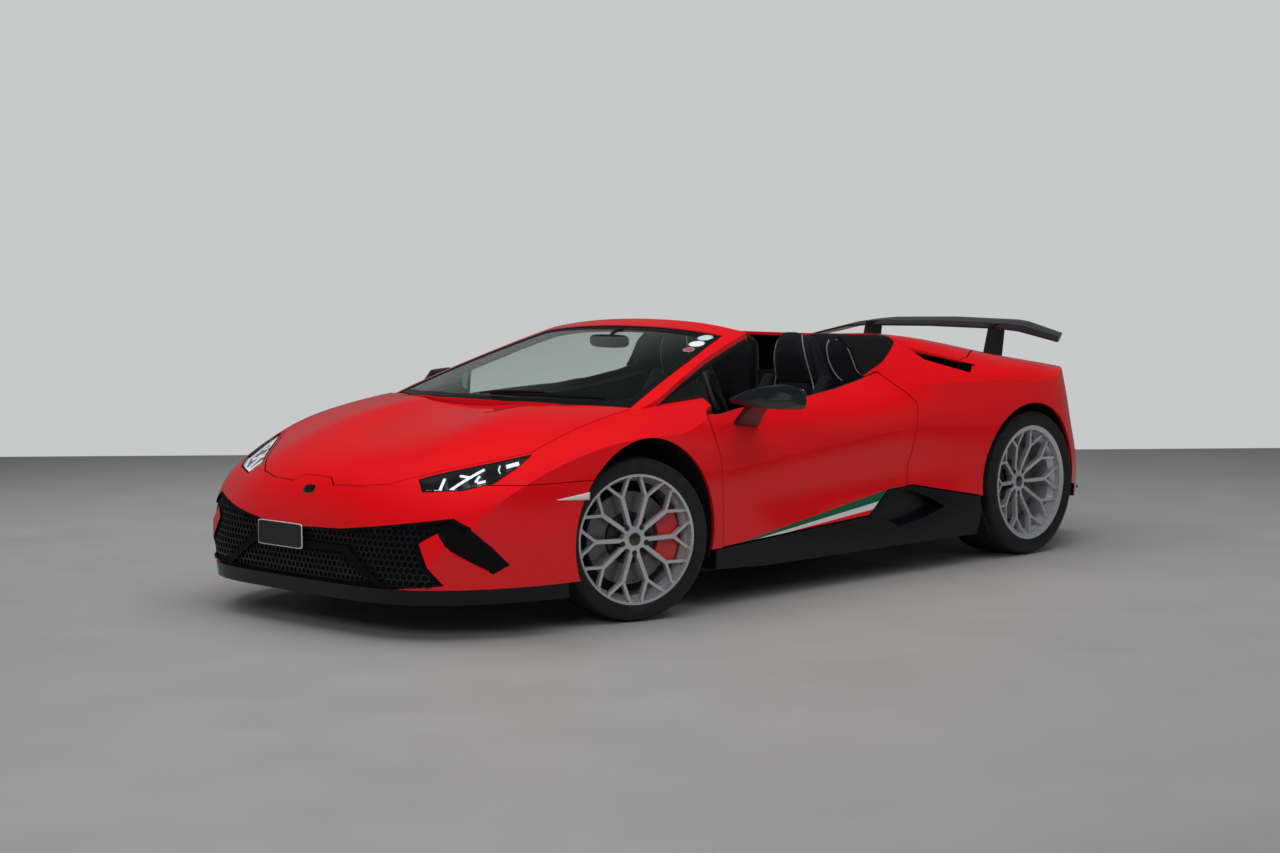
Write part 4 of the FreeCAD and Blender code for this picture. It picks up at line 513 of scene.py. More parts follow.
# Tyre: section (distance out, radius) turned about the axle; tread grooves and slanted cuts sink the radius
def tyreGrid(corner):
    shape, size = tyreShape, wheelSizes[corner[0]]
    centre, axis, first, second = wheelAxes(corner)
    tread = np.linspace(-shape["treadHalf"], shape["treadHalf"], shape["across"])
    crown = size["radius"] - shape["crownFall"] * np.abs(tread / shape["treadHalf"]) ** 3
    shoulder = np.array(shape["shoulder"])
    wallOut = np.append(shoulder[:, 0], shape["wallFoot"])
    wallIn = np.append(size["radius"] - shoulder[:, 1], shape["flange"])
    share = np.concatenate([-wallOut[::-1], tread, wallOut])
    reach = np.concatenate([wallIn[::-1], crown, wallIn])
    turn = np.linspace(0, 2 * np.pi, shape["around"], endpoint=False)[:, None]
    off = np.abs(share)[None]
    onTread = off <= shape["treadHalf"]
    groove = np.min(np.abs(share[None] - np.array(shape["grooves"])[:, None]), axis=0) < shape["grooveHalf"]
    slant = turn * shape["sipes"] / (2 * np.pi) + off * shape["sipeSlant"]
    cut = ((slant % 1.0) < shape["sipeLong"]) & onTread & (off > shape["sipesFrom"])
    sunk = reach - np.where(groove & onTread, shape["grooveDeep"], 0.0) - np.where(cut, shape["sipeDeep"], 0.0)
    sunk += np.where(onTread, 0.0, shape["ribHigh"] * np.cos(turn * shape["ribs"]) * (off > shape["ribsFrom"]))
    spin = np.cos(turn)[..., None] * first + np.sin(turn)[..., None] * second
    grid = centre + (share * size["halfWide"])[None, :, None] * axis + sunk[..., None] * spin
    edge = grid[:, [0, -1]] - centre
    radial = edge - (edge @ axis)[..., None] * axis
    lip = centre + (edge - radial) * shape["lipIn"] + radial * (
        shape["bead"] / np.linalg.norm(radial, axis=-1, keepdims=True))
    return np.concatenate([lip[:, :1], grid, lip[:, 1:]], axis=1)


for corner, firstBolt in firstBolts.items():
    body, out = "wheel_" + corner, wheelSizes[corner[0]]["hubOut"]
    centre, axis, first, second = wheelAxes(corner)
    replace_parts(gridsPiece("tread_" + corner, [hoop(tyreGrid(corner))], "tyreRubber", body), "tyre_" + corner)
    r, crown = hubShape["capRadius"], hubShape["capCrown"]
    cap = [(out - 0.006, 0.0), (out - 0.006, r), (out + 0.0005, r), (out + crown * 0.6, r * 0.92),
           (out + crown, r * 0.6), (out + crown, 0.0)]
    gridsPiece("cap_" + corner, [spun(turned(cap, centre, axis, first, second))], "capBlack", body)
    ring = ringProfile(hubShape["ringThick"], 8) + np.array([out + 0.0012, hubShape["ringRadius"] * 0.9])
    gridsPiece("capRing_" + corner, [hoop(turned(ring, centre, axis, first, second))], "badgeGold", body)
    low, r = out - hubShape["boltDeep"], hubShape["boltRadius"]
    high, sunk = low + hubShape["boltLong"], low + hubShape["boltLong"] * 0.6
    head = [(low, 0.0), (low, r), (high, r * 0.93), (high, r * 0.45), (sunk, r * 0.4), (sunk, 0.0)]
    bolts = []
    for number in range(hubShape["bolts"]):
        angle = 2 * np.pi * number / hubShape["bolts"]
        spot = centre + hubShape["boltCircle"] * (np.sin(angle) * first + np.cos(angle) * second * firstBolt)
        bolts.append(spun(turned(head, spot, axis, first, second, 12)))
    gridsPiece("bolts_" + corner, bolts, "darkMetal", body, smooth=False)
    dress("rim_" + corner, makeRim("rim" + corner, centre, axis, wheelSizes[corner[0]]["discOut"]))
print("wheels done")

# Finishes on the CAD nodes
nodeFinish = {
    "redPaint": "front_bumper fenders hood door_left door_right windscreen_frame engine_cover rear_deck rear_bumper",
    "redPaintQuarters": "quarters", "grilleBlack": "front_grille rear_grille", "splitterBlack": "splitter side_skirts",
    "satinBlack": "diffuser mirror_left mirror_right", "glossBlack": "wing wing_pylons",
    "grainPlastic": "cowl front_liners rear_liners tub", "darkMetal": "front_frame rear_frame",
    "castMetal": "engine_block front_arms rear_suspension knuckle_left knuckle_right",
    "caliperRed": "rear_calipers caliper_left caliper_right", "blackSuede": "dashboard",
    "blackLeather": "seats steering_wheel console rear_trim", "screenGlass": "windscreen",
    "sideGlass": "quarter_lights", "lampGlass": "head_lamps", "tailGlass": "tail_lamps", "brightSteel": "exhaust"}
for finish, names in nodeFinish.items():
    for name in names.split():
        dress(name, finishes[finish])

# The side of a painted panel that faces the car's inside takes a second material: a face counts as inner where its
# normal, along the line out from the car's spine, comes to less than turn
innerLook = {"turn": -0.25, "doorTurn": 0.32, "ledgeTurn": 0.60, "ledgeFrom": 0.70, "spine": 0.45, "endsFrom": 1.75,
             "endShare": 0.4, "neckBehind": 1.24, "necks": (0.455, 0.49)}
for name in nodeFinish["redPaint"].split() + ["quarters"]:
    mesh = nodes[name].data
    middles, normals = faceRows(mesh)
    door = name.startswith("door")
    outward = middles * np.array([0.0, 1.0, 1.0]) - np.array([0.0, 0.0, innerLook["spine"]])
    outward[:, 0] = np.where(np.abs(middles[:, 0]) > innerLook["endsFrom"], middles[:, 0] * innerLook["endShare"], 0.0)
    facing = (normals * outward / np.linalg.norm(outward, axis=1, keepdims=True)).sum(1)
    inward = facing < innerLook["doorTurn" if door else "turn"]
    if door:  # the ledge along its top is trimmed as its inside is
        inward |= (middles[:, 2] > innerLook["ledgeFrom"]) & (facing < innerLook["ledgeTurn"])
    if name == "hood":  # its hinge necks
        out, (inner, outer) = np.abs(middles[:, 1]), innerLook["necks"]
        inward |= (np.abs(middles[:, 0]) < innerLook["neckBehind"]) & (out > inner) & (out < outer)
    mesh.materials.append(finishes["blackLeather" if door else "grainPlastic"])
    mesh.polygons.foreach_set("material_index", inward.astype(int))

# Soot inside the exhaust pipes and on their inner ends
pipeShape = {"apart": 0.118, "high": 0.580, "bore": 0.02, "mouth": -2.22}
pipes = nodes["exhaust"].data
middles, normals = faceRows(pipes)
fromAxis = np.abs(middles) - np.array([0.0, pipeShape["apart"], pipeShape["high"]])
toAxis = -(normals * np.sign(middles) * fromAxis)[:, 1:].sum(1)
sooted = (toAxis > pipeShape["bore"]) | ((normals[:, 0] < -0.9) & (middles[:, 0] > pipeShape["mouth"]))
pipes.materials.append(finishes["rubberTrim"])
pipes.polygons.foreach_set("material_index", sooted.astype(int))
print("CAD nodes dressed")

# Nose: a blank plate, its pale edge and its bracket; sizes are half width, half height, depth and place out
plateShape = {"centre": (2.2562, -0.082, 0.3595), "plateHolder": (0.1435, 0.0495, 0.004, 0.0, "plateEdge"),
              "plateFace": (0.140, 0.046, 0.0012, 0.004, "plateBlack"),
              "plateBracket": (0.105, 0.032, 0.040, -0.040, "grainPlastic")}
for name in ("plateHolder", "plateFace", "plateBracket"):
    halfWide, halfHigh, deep, out, finish = plateShape[name]
    outline = softProfile(halfWide, halfHigh, 48, 14.0)
    rows = [(0.0, 0.0), (0.0, 0.98), (deep * 0.4, 1.0), (deep, 1.0), (deep, 0.99), (deep, 0.0)]
    grid = np.stack([stood(outline * k, "x", d + out) for d, k in rows]) + np.array(plateShape["centre"])
    gridsPiece(name, [rounded(grid)], finish)

# Head lamps: clear lens, dark bowl, white light strokes and a thin seal
lampShape = {"inner": ((1712, 797), (1872, 653), (2032, 505)),
             "outer": ((1712, 797), (1780, 806), (1905, 790), (1985, 712), (2062, 560)), "rows": 15, "columns": 64,
             "bowl": 0.034, "lens": 0.0026, "lensLift": -0.001, "seal": 0.0028, "strokeDrop": -0.010,
             "strokeThick": 0.005, "strokeWide": 0.0095}
lampStrokes = [(1.0, ((1974, 585), (2024, 612))), (1.0, ((1858, 684), (1935, 666), (2007, 649))),
               (0.8, ((1932, 627), (1926, 646), (1920, 665))), (0.8, ((1896, 698), (1911, 703), (1926, 709))),
               (0.9, ((1904, 741), (1926, 719))),
               (0.9, ((2050, 566), (1980, 706), (1903, 780), (1782, 796), (1734, 795))),
               (0.35, ((1813, 723), (1834, 738), (1843, 757))), (1.9, ((1805, 750), (1765, 779)))]
innerEdge, outerEdge = (evenly(metres(lampShape[key]), lampShape["columns"]) for key in ("inner", "outer"))
lampTop = laid(stood(bridged(innerEdge, outerEdge, lampShape["rows"]), "z", 0.9), "head_lamps", "z",
               lampShape["lensLift"])
share = np.linspace(-1, 1, lampShape["rows"])[:, None]
run = np.linspace(-1, 1, lampShape["columns"])[None, :]
sink = (1 - np.abs(share) ** 4) * (1 - np.abs(run) ** 12) * lampShape["bowl"]
bowl = lampTop - sink[..., None] * np.array([0.3, 0.0, 1.0]) - np.array([0.0, 0.0, lampShape["lens"]])
lens = thicken(gridsPiece("lampLens", [sheet(side) for side in bothSides(lampTop)], "lampGlass"), lampShape["lens"])
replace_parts(lens, "head_lamps")
gridsPiece("lampBowl", [sheet(side) for side in bothSides(bowl)], "lampHousing")
decal("lampStrokes", [ribbon(metres(path), lampShape["strokeWide"] * wide, 24) for wide, path in lampStrokes],
      "head_lamps", "z", 0.9, lampShape["strokeDrop"], lampShape["strokeThick"], "whiteLight", mirror=True)
lampRim = np.concatenate([lampTop[0, 1:], lampTop[1:, -1], lampTop[-1, -2::-1]])
lampCord = swept(lampRim, ringProfile(lampShape["seal"], 8), closed=True)
gridsPiece("lampSeal", [hoop(side) for side in bothSides(lampCord)], "rubberTrim")
print("plate and head lamps done")

# Badge, side markers and stickers
badgeShape = {"centre": (0.0015, 0.536), "half": (0.036, 0.0175), "rim": 0.0048, "thick": 0.0016}
markerShape = {"top": ((1700, 521), (1547, 540)), "low": ((1700, 519), (1547, 509)), "thick": 0.0016}
stickerPlan = {"stickerRed": (0.548, 0.531, 0.022), "stickerWhite": (0.478, 0.513, 0.033),
               "stickerBlue": (0.402, 0.492, 0.032)}
stickerEdge = 0.0025


def oval(centre, half, power=2.6):
    return [discs(softProfile(half[0], half[1], 40, power) + np.asarray(centre), 6)]


for name, shrink, lift, finish in (("badgeRim", 0.0, 0.0016, "badgeGold"),
                                   ("badgeFace", badgeShape["rim"], 0.0026, "capBlack")):
    decal(name, oval(badgeShape["centre"], np.array(badgeShape["half"]) - shrink), "front_bumper", "x", 2.4, lift,
          badgeShape["thick"], finish, rounded)
markerTop, markerLow = (evenly(metres(markerShape[key]), 24) for key in ("top", "low"))
decal("sideMarkers", [bridged(markerTop, markerLow, 4)], "front_bumper", "y", 1.0, 0.0012, markerShape["thick"],
      "reflector", mirror=True)
for name, (x, y, radius) in stickerPlan.items():
    decal(name, oval((x, y), (radius, radius), 2.0), "windscreen", "z", 1.3, 0.0006, 0.0004, name, rounded)
    wider = radius + stickerEdge
    decal(name + "Edge", oval((x, y), (wider, wider), 2.0), "windscreen", "z", 1.3, 0.0004, 0.0002, "stickerWhite",
          rounded)

# Black band printed round the windscreen's edge, the rubber line outside it, the seal and the wiper
screenEdge = metres([(1312, 0), (1302, 218), (1231, 496), (1106, 727), (642, 617), (362, 538), (371, 300), (374, 0)])
screenInside = metres([(1268, 0), (1258, 208), (1192, 474), (1086, 692), (646, 586), (402, 514), (411, 300), (414, 0)])
sealPlan = metres([(1118, 764), (980, 760), (800, 712), (602, 658), (430, 626), (272, 598), (262, 560), (262, 300),
                   (260, 0)])
wiperPlan = metres([(1262, 60), (1248, 220), (1190, 440), (1120, 600)])
screenShape = {"rubber": 0.0042, "seal": (0.014, 0.016), "sealLift": 0.002, "blade": (0.004, 0.009),
               "arm": (0.007, 0.004), "bladeLift": 0.011}
decal("screenBand", [bridged(evenly(screenEdge, 120), evenly(screenInside, 120), 5)], "windscreen", "z", 1.3, 0.0004,
      0.0003, "frit", mirror=True)
edgeLine, otherLine = bothSides(laid(stood(evenly(screenEdge, 200), "z", 1.3), "windscreen", "z", 0.0002))
wholeEdge = np.concatenate([edgeLine, otherLine[-2:0:-1]])
gridsPiece("screenRubber", [hoop(swept(wholeEdge, ringProfile(screenShape["rubber"], 8), closed=True))], "rubberTrim")
sealLine = laid(stood(evenly(sealPlan, 120), "z", 0.60), "windscreen_frame", "z", screenShape["sealLift"])
gridsPiece("frameSeal", [tube(swept(line, softProfile(*screenShape["seal"], 12, 3.0)))
                         for line in bothSides(sealLine)], "rubberTrim")
wiperLine = laid(stood(evenly(wiperPlan, 60), "z", 1.3), "windscreen", "z", screenShape["bladeLift"])
wiperArm = wiperLine[[0, 6, 30]] + np.array([(0.035, -0.02, 0.0), (0.02, 0.0, 0.010), (0.0, 0.0, 0.012)])
gridsPiece("wiper", [tube(swept(wiperLine, softProfile(*screenShape["blade"], 8, 3.0))),
                     tube(swept(easedPath(wiperArm), softProfile(*screenShape["arm"], 8, 4.0)))], "satinBlack")
print("badge, markers, stickers and screen trim done")

# Door mirrors: a shell and its stalk through sections at distances out, and the glass at the shell's back
mirrorRows = [(0.938, ((655, 843), (735, 846), (740, 856), (700, 866), (655, 863), (645, 852))),
              (0.945, ((655, 838), (745, 842), (748, 856), (700, 872), (655, 868), (640, 852))),
              (1.000, ((510, 806), (700, 822), (744, 850), (690, 896), (560, 906), (498, 880))),
              (1.060, ((470, 797), (660, 815), (702, 850), (650, 912), (530, 916), (460, 890))),
              (1.105, ((455, 800), (560, 812), (602, 845), (570, 882), (490, 894), (447, 880))),
              (1.117, ((462, 818), (530, 824), (552, 845), (530, 863), (485, 871), (457, 862)))]
stalkRows = [(0.862, ((480, 700), (634, 728), (640, 745), (520, 760))),
             (0.915, ((512, 752), (636, 770), (650, 795), (530, 800))),
             (0.960, ((530, 800), (640, 810), (660, 835), (540, 835))),
             (1.010, ((540, 815), (650, 825), (670, 850), (550, 850)))]


# Closed sections one after another, drawn in to a point at both ends
def loopLoft(rows):
    loops = np.stack([stood(easedLoop(metres(points), 6, 0.16), "y", y) for y, points in rows])
    middles = loops.mean(axis=1, keepdims=True)
    drawn = [middles[i] + (loops[i] - middles[i]) * k for i, k in ((0, 0.0), (0, 0.9), (-1, 0.9), (-1, 0.0))]
    return np.concatenate([drawn[:2], loops, drawn[2:]])


mirrorGlass = discs(softProfile(0.052, 0.036, 40, 3.6) + np.array([1.052, 0.852]), 5)
for side, name in ((1.0, "left"), (-1.0, "right")):
    flip = np.array([1.0, side, 1.0])
    shell = gridsPiece("mirrorShell_" + name, [rounded(loopLoft(rows) * flip) for rows in (mirrorRows, stalkRows)],
                       "glossBlack", "door_" + name)
    smooth = shell.modifiers.new("smooth", "SUBSURF")
    smooth.levels = smooth.render_levels = 1
    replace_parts(shell, "mirror_" + name)
    glass = laid(stood(mirrorGlass * np.array([side, 1.0]), "x", 0.30), "mirror_" + name, "x", 0.002)
    thicken(gridsPiece("mirrorGlass_" + name, [rounded(glass)], "chrome", "door_" + name), 0.002)
print("mirrors done")

# Seats: shell, head rest and bolsters as swept sections, with puffed centre pads and piping
seatShape = {"middle": 0.365, "voxel": 0.006, "pressure": 4.0, "mass": 0.3, "frames": 20, "piping": 0.0032,
             "backBolsterOut": 0.168, "seatBolsterOut": 0.176, "ends": ((0.0, 0.012), (0.55, 0.010), (0.85, 0.006))}


# Superellipses at stations (x, z, half wide, half thick) in mm along a line in the seat's middle plane; domed ends
def padded(stations, shift, power=3.2, up=(1, 0, 0), count=36, steps=30):
    stations = metres(stations)
    places, index = np.linspace(0, len(stations) - 1, steps), np.arange(len(stations))
    smooth = np.stack([np.interp(places, index, column) for column in stations.T], 1)
    smooth = np.vstack([smooth[:1]] * 2 + [smooth] + [smooth[-1:]] * 2)
    smooth = np.stack([np.convolve(column, np.array([1, 2, 3, 2, 1]) / 9.0, "valid") for column in smooth.T], 1)
    path = np.column_stack([smooth[:, 0], np.full(steps, shift), smooth[:, 1]])
    way, side, top = pathAxes(path, up)
    unit = softProfile(1.0, 1.0, count, power)
    rows = (path[:, None] + unit[None, :, :1] * smooth[:, 2, None, None] * side[:, None]
            + unit[None, :, 1:] * smooth[:, 3, None, None] * top[:, None])
    ends = []
    for row, outward in ((rows[0], -way[0]), (rows[-1], way[-1])):
        middle = row.mean(axis=0)
        ends.append(np.stack([middle + (row - middle) * k + outward * d for k, d in seatShape["ends"]]))
    return rounded(np.concatenate([ends[0], rows, ends[1][::-1]]))


# Cloth with pressure run on a remeshed copy; its result, moved by cap at most, becomes the piece's mesh
def puffed(piece, cap):
    scene, finish = bpy.context.scene, piece.data.materials[0]
    copy = bpy.data.objects.new(piece.name + "Copy", piece.data.copy())
    scene.collection.objects.link(copy)
    even = copy.modifiers.new("even", "REMESH")
    even.mode = "VOXEL"
    even.voxel_size = seatShape["voxel"]
    bpy.context.view_layer.update()
    fine = bpy.data.meshes.new_from_object(copy.evaluated_get(bpy.context.evaluated_depsgraph_get()))
    copy.modifiers.clear()
    copy.data = fine
    before = np.empty(len(fine.vertices) * 3)
    fine.vertices.foreach_get("co", before)
    cloth = copy.modifiers.new("puff", "CLOTH").settings
    cloth.use_pressure = True
    cloth.uniform_pressure_force = seatShape["pressure"]
    cloth.effector_weights.gravity = 0
    cloth.mass = seatShape["mass"]
    for step in range(1, seatShape["frames"] + 1):
        scene.frame_set(step)
    after = np.empty(len(before))
    copy.evaluated_get(bpy.context.evaluated_depsgraph_get()).data.vertices.foreach_get("co", after)
    scene.frame_set(1)
    moved = (after - before).reshape(-1, 3)
    reach = np.linalg.norm(moved, axis=1, keepdims=True)
    moved *= np.minimum(1.0, cap / np.maximum(reach, 1e-9))
    fine.vertices.foreach_set("co", (before.reshape(-1, 3) + moved).ravel())
    copy.modifiers.clear()
    bpy.data.objects.remove(copy)
    fine.materials.clear()
    fine.materials.append(finish)
    fine.polygons.foreach_set("use_smooth", [True] * len(fine.polygons))
    piece.data = fine


lying = (0, 0, 1)  # the up of parts that lie along the seat instead of standing
shellStations = [(-335, 215, 205, 75), (-345, 360, 215, 75), (-365, 500, 222, 70), (-390, 660, 222, 62),
                 (-405, 780, 200, 52), (-410, 860, 150, 46), (-405, 930, 116, 44), (-390, 1000, 96, 42),
                 (-372, 1058, 70, 34)]
headStations = [(-350, 860, 102, 32), (-334, 920, 100, 40), (-322, 985, 90, 44), (-322, 1040, 74, 40),
                (-330, 1070, 56, 30)]
seatBase = [(-300, 235, 215, 70), (-100, 225, 222, 62), (20, 225, 220, 60), (45, 225, 210, 50)]
backBolster = [(-235, 370, 34, 62), (-255, 500, 40, 78), (-290, 660, 42, 80), (-335, 790, 38, 60), (-370, 872, 30, 36)]
seatBolster = [(-235, 335, 36, 55), (-100, 330, 44, 60), (15, 320, 42, 52), (48, 290, 34, 40)]
pads = {"backPad_": (((-262, 370, 120, 30), (-285, 500, 132, 32), (-322, 660, 138, 32), (-348, 800, 122, 30),
                      (-360, 872, 100, 24)), (1, 0, 0), 0.012),
        "cushionPad_": (((-232, 318, 130, 28), (-120, 312, 136, 30), (0, 322, 138, 30),
                         (40, 300, 128, 26)), lying, 0.014)}
pipingLine = metres([(-268, 128, 375), (-262, 136, 500), (-296, 142, 660), (-330, 128, 800), (-332, 106, 870),
                     (-310, 101, 930), (-300, 92, 985), (-302, 76, 1040), (-322, 58, 1070)])

for side, name in ((1.0, "left"), (-1.0, "right")):
    middle = seatShape["middle"] * side
    parts = [padded(shellStations, middle), padded(headStations, middle, 3.6), padded(seatBase, middle, up=lying)]
    parts += [padded(backBolster, middle + out * seatShape["backBolsterOut"], 2.4) for out in (1, -1)]
    parts += [padded(seatBolster, middle + out * seatShape["seatBolsterOut"], 2.4, lying) for out in (1, -1)]
    seat = gridsPiece("seat_" + name, parts, "blackLeather")
    if name == "left":
        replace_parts(seat, "seats")
    for key, (stations, up, cap) in pads.items():
        pad = gridsPiece(key + name, [padded(stations, middle, 4.0, up)], "blackSuede")
        puffed(pad, cap)
        fine = pad.modifiers.new("fine", "SUBSURF")
        fine.levels = fine.render_levels = 1
    cords = [easedPath(line, 6) + np.array([0.0, middle, 0.0]) for line in bothSides(pipingLine)]
    gridsPiece("seatPiping_" + name, [tube(swept(cord, ringProfile(seatShape["piping"], 8), (0, 1, 0.01)))
                                      for cord in cords], "pipingGrey")
print("seats done")

# Rear cabin wall: a section drawn across each side and lowered towards its ends, with pale piping laid on it
humpShape = {"inner": 0.132, "outer": 0.598, "rows": 30, "drop": 0.050, "dropFrom": 0.86, "dropOver": 0.20,
             "lean": 0.012, "leanFrom": -0.60, "piping": 0.0032,
             "section": ((-562, 704), (-566, 1000), (-600, 1064), (-648, 1064), (-648, 884), (-640, 704))}
humpLines = [[(364, 1036), (359, 1001), (381, 926), (427, 869), (464, 848)],
             [(404, 1036), (436, 1044), (472, 1022), (517, 960), (539, 902), (569, 880)]]
section = easedLoop(metres(humpShape["section"]), 8, 0.35)
fall = np.abs(np.linspace(-1, 1, humpShape["rows"]))[:, None] ** 5
level = np.linspace(humpShape["inner"], humpShape["outer"], humpShape["rows"])[:, None]
lift = np.clip((section[:, 1] - humpShape["dropFrom"]) / humpShape["dropOver"], 0, 1)
x = section[None, :, 0] - fall * humpShape["lean"] * (section[None, :, 0] > humpShape["leanFrom"])
hump = np.stack([x, np.broadcast_to(level, x.shape), section[None, :, 1] - lift * fall * humpShape["drop"]], -1)
humps = gridsPiece("humps", [tube(side) for side in bothSides(hump)], "blackSuede")
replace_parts(humps, "rear_trim")
humpCords = [side for line in humpLines
             for side in bothSides(laid(stood(easedPath(metres(line)), "x", -0.40), humps, "x", 0.001))]
gridsPiece("humpPiping", [tube(swept(cord, ringProfile(humpShape["piping"], 8), (1, 0, 0.01))) for cord in humpCords],
           "pipingGrey")

# Interior mirror on its stalk, instrument hood and wheel boss
innerMirror = {"half": (0.118, 0.030), "back": 0.489, "high": 1.058,
               "rows": ((0.0, 0.0), (0.0, 0.94), (0.004, 1.0), (0.016, 1.0), (0.026, 0.9), (0.032, 0.6), (0.034, 0.0)),
               "stem": ((0.500, 0.0, 1.066), (0.480, 0.0, 1.094), (0.440, 0.0, 1.108), (0.420, 0.0, 1.110))}
outline = softProfile(*innerMirror["half"], 48, 3.4)
faces = np.stack([stood(outline * k, "x", innerMirror["back"] + d) for d, k in innerMirror["rows"]])
faces += np.array([0.0, 0.0, innerMirror["high"]])
stem = tube(swept(easedPath(innerMirror["stem"], 6), ringProfile(0.009, 12), (0, 1, 0)))
gridsPiece("innerMirror", [rounded(faces), stem], "grainPlastic")
binnacle = [(555, 735, 150, 50), (600, 760, 165, 62), (680, 775, 160, 50), (760, 770, 140, 30)]
gridsPiece("instrumentHood", [padded(binnacle, seatShape["middle"], 3.0, lying)], "blackSuede")
bossShape = {"centre": (0.330, 0.365, 0.760), "lean": (-1.0, 0.0, 0.36),
             "rows": ((-0.004, 0.0), (-0.004, 0.058), (0.014, 0.060), (0.024, 0.048), (0.028, 0.020), (0.028, 0.0))}
lean = np.array(bossShape["lean"]) / np.linalg.norm(bossShape["lean"])
acrossWheel = np.array([0.0, 1.0, 0.0])
boss = turned(bossShape["rows"], np.array(bossShape["centre"]), lean, acrossWheel, np.cross(lean, acrossWheel), 40)
gridsPiece("wheelBoss", [spun(boss)], "grainPlastic")
print("cabin done")

# Hexagon mesh in the grilles: rings between an outer and an inner hexagon, kept where their middle is inside an area
grilleShape = {"cell": 0.0155, "hole": 0.80, "thick": 0.004, "lift": 0.0035, "from": 0.15, "columns": 60, "rows": 60}
frontAreas = [[(-455, 206), (-262, 305), (262, 305), (455, 206)],
              [(0, 353), (296, 353), (535, 208), (705, 208), (618, 372), (668, 402), (598, 432), (450, 412), (250, 388),
               (0, 380)]]
rearAreas = [[(0, 790), (500, 790), (505, 690), (560, 622), (690, 640), (685, 570), (552, 532), (492, 410), (0, 410)]]


# A spot is inside an outline when a level ray from it crosses an odd number of its edges
def inside(spots, outline):
    starts = np.roll(outline, 1, 0)
    y, z = spots[:, None, 0], spots[:, None, 1]
    crosses = (starts[:, 1] > z) != (outline[:, 1] > z)
    rise = np.where(outline[:, 1] == starts[:, 1], 1e-9, outline[:, 1] - starts[:, 1])
    reach = np.where(crosses, (outline[:, 0] - starts[:, 0]) * (z - starts[:, 1]) / rise + starts[:, 0], -1e9)
    return (crosses & (y < reach)).sum(1) % 2 == 1


# Hexagon corners at every 60 degrees; rows 1.5 cells apart, each shifted by half a column
def hexMesh(name, areas, node, level, pipe=None):
    cell = grilleShape["cell"]
    columns, rows = np.meshgrid(np.arange(-grilleShape["columns"], grilleShape["columns"] + 1),
                                np.arange(grilleShape["rows"]))
    spots = np.stack([(columns + (rows % 2) / 2) * np.sqrt(3) * cell, grilleShape["from"] + rows * 1.5 * cell], -1)
    spots = spots.reshape(-1, 2)
    kept = np.zeros(len(spots), bool)
    for area in areas:
        kept |= inside(spots, metres(area)) | inside(spots * np.array([-1, 1]), metres(area))
    if pipe:
        y, z, radius = pipe
        kept &= np.hypot(np.abs(spots[:, 0]) - y, spots[:, 1] - z) > radius + cell
    turn = np.pi / 6 + np.arange(6) * np.pi / 3
    corners = np.stack([np.cos(turn), np.sin(turn)], 1) * cell
    flat = spots[kept][:, None, None] + np.stack([corners, corners * grilleShape["hole"]])
    points = laid(stood(flat, "x", level), node, "x", grilleShape["lift"])
    index = np.arange(flat.size // 2).reshape(-1, 2, 6)
    after = np.roll(index, -1, 2)
    faces = np.stack([index[:, 0], after[:, 0], after[:, 1], index[:, 1]], -1).reshape(-1, 4).tolist()
    mesh = newPiece(name, points, faces, "satinBlack", smooth=False)
    thicken(mesh, grilleShape["thick"], side=0.0)
    print(name, len(flat), "cells")


hexMesh("frontMesh", frontAreas, "front_grille", 2.5)
hexMesh("rearMesh", rearAreas, "rear_grille", -2.5, (pipeShape["apart"], pipeShape["high"], 0.062))

# Tail lamps: red light strokes on each lamp's face
tailStrokes = [[(528, 684), (600, 690), (650, 704), (698, 724)], [(640, 700), (672, 694), (698, 702)],
               [(560, 655), (600, 666), (640, 690)]]
decal("tailStrokes", [ribbon(metres(path), 0.008, 20) for path in tailStrokes], "tail_lamps", "x", -2.6, 0.0005, 0.003,
      "redLight", mirror=True)

# Slats under the slots of the engine cover, each leading edge laid on it and sloping down to the back
slatShape = {"first": -0.784, "step": -0.120, "count": 5, "long": 0.066, "inner": 0.146, "outer": 0.434,
             "drop": 0.008, "fall": 0.020, "shift": 0.004, "thick": 0.003}
slatRows = []
for number in range(slatShape["count"]):
    front = slatShape["first"] + slatShape["step"] * number
    places = np.linspace(slatShape["inner"], slatShape["outer"], 20)
    lead = laid(stood(np.column_stack([np.full(20, front), places]), "z", 1.3), "engine_cover", "z")
    ahead = lead - np.array([slatShape["shift"], 0.0, slatShape["drop"]])
    slatRows += bothSides(bridged(ahead, ahead - np.array([slatShape["long"], 0.0, slatShape["fall"]]), 4))
slats = gridsPiece("coverSlats", [sheet(row) for row in slatRows], "satinBlack", "engine_cover")
thicken(slats, slatShape["thick"])

# Slim struts at the front of the door windows
strutLine = metres([(674, 735, 958), (664, 760, 880), (650, 788, 782)])
gridsPiece("windowStruts", [tube(swept(line, softProfile(0.006, 0.009, 12, 3.0), (1, 0, 0)))
                            for line in bothSides(strutLine)], "darkMetal")
print("grilles, tail and cover trim done")

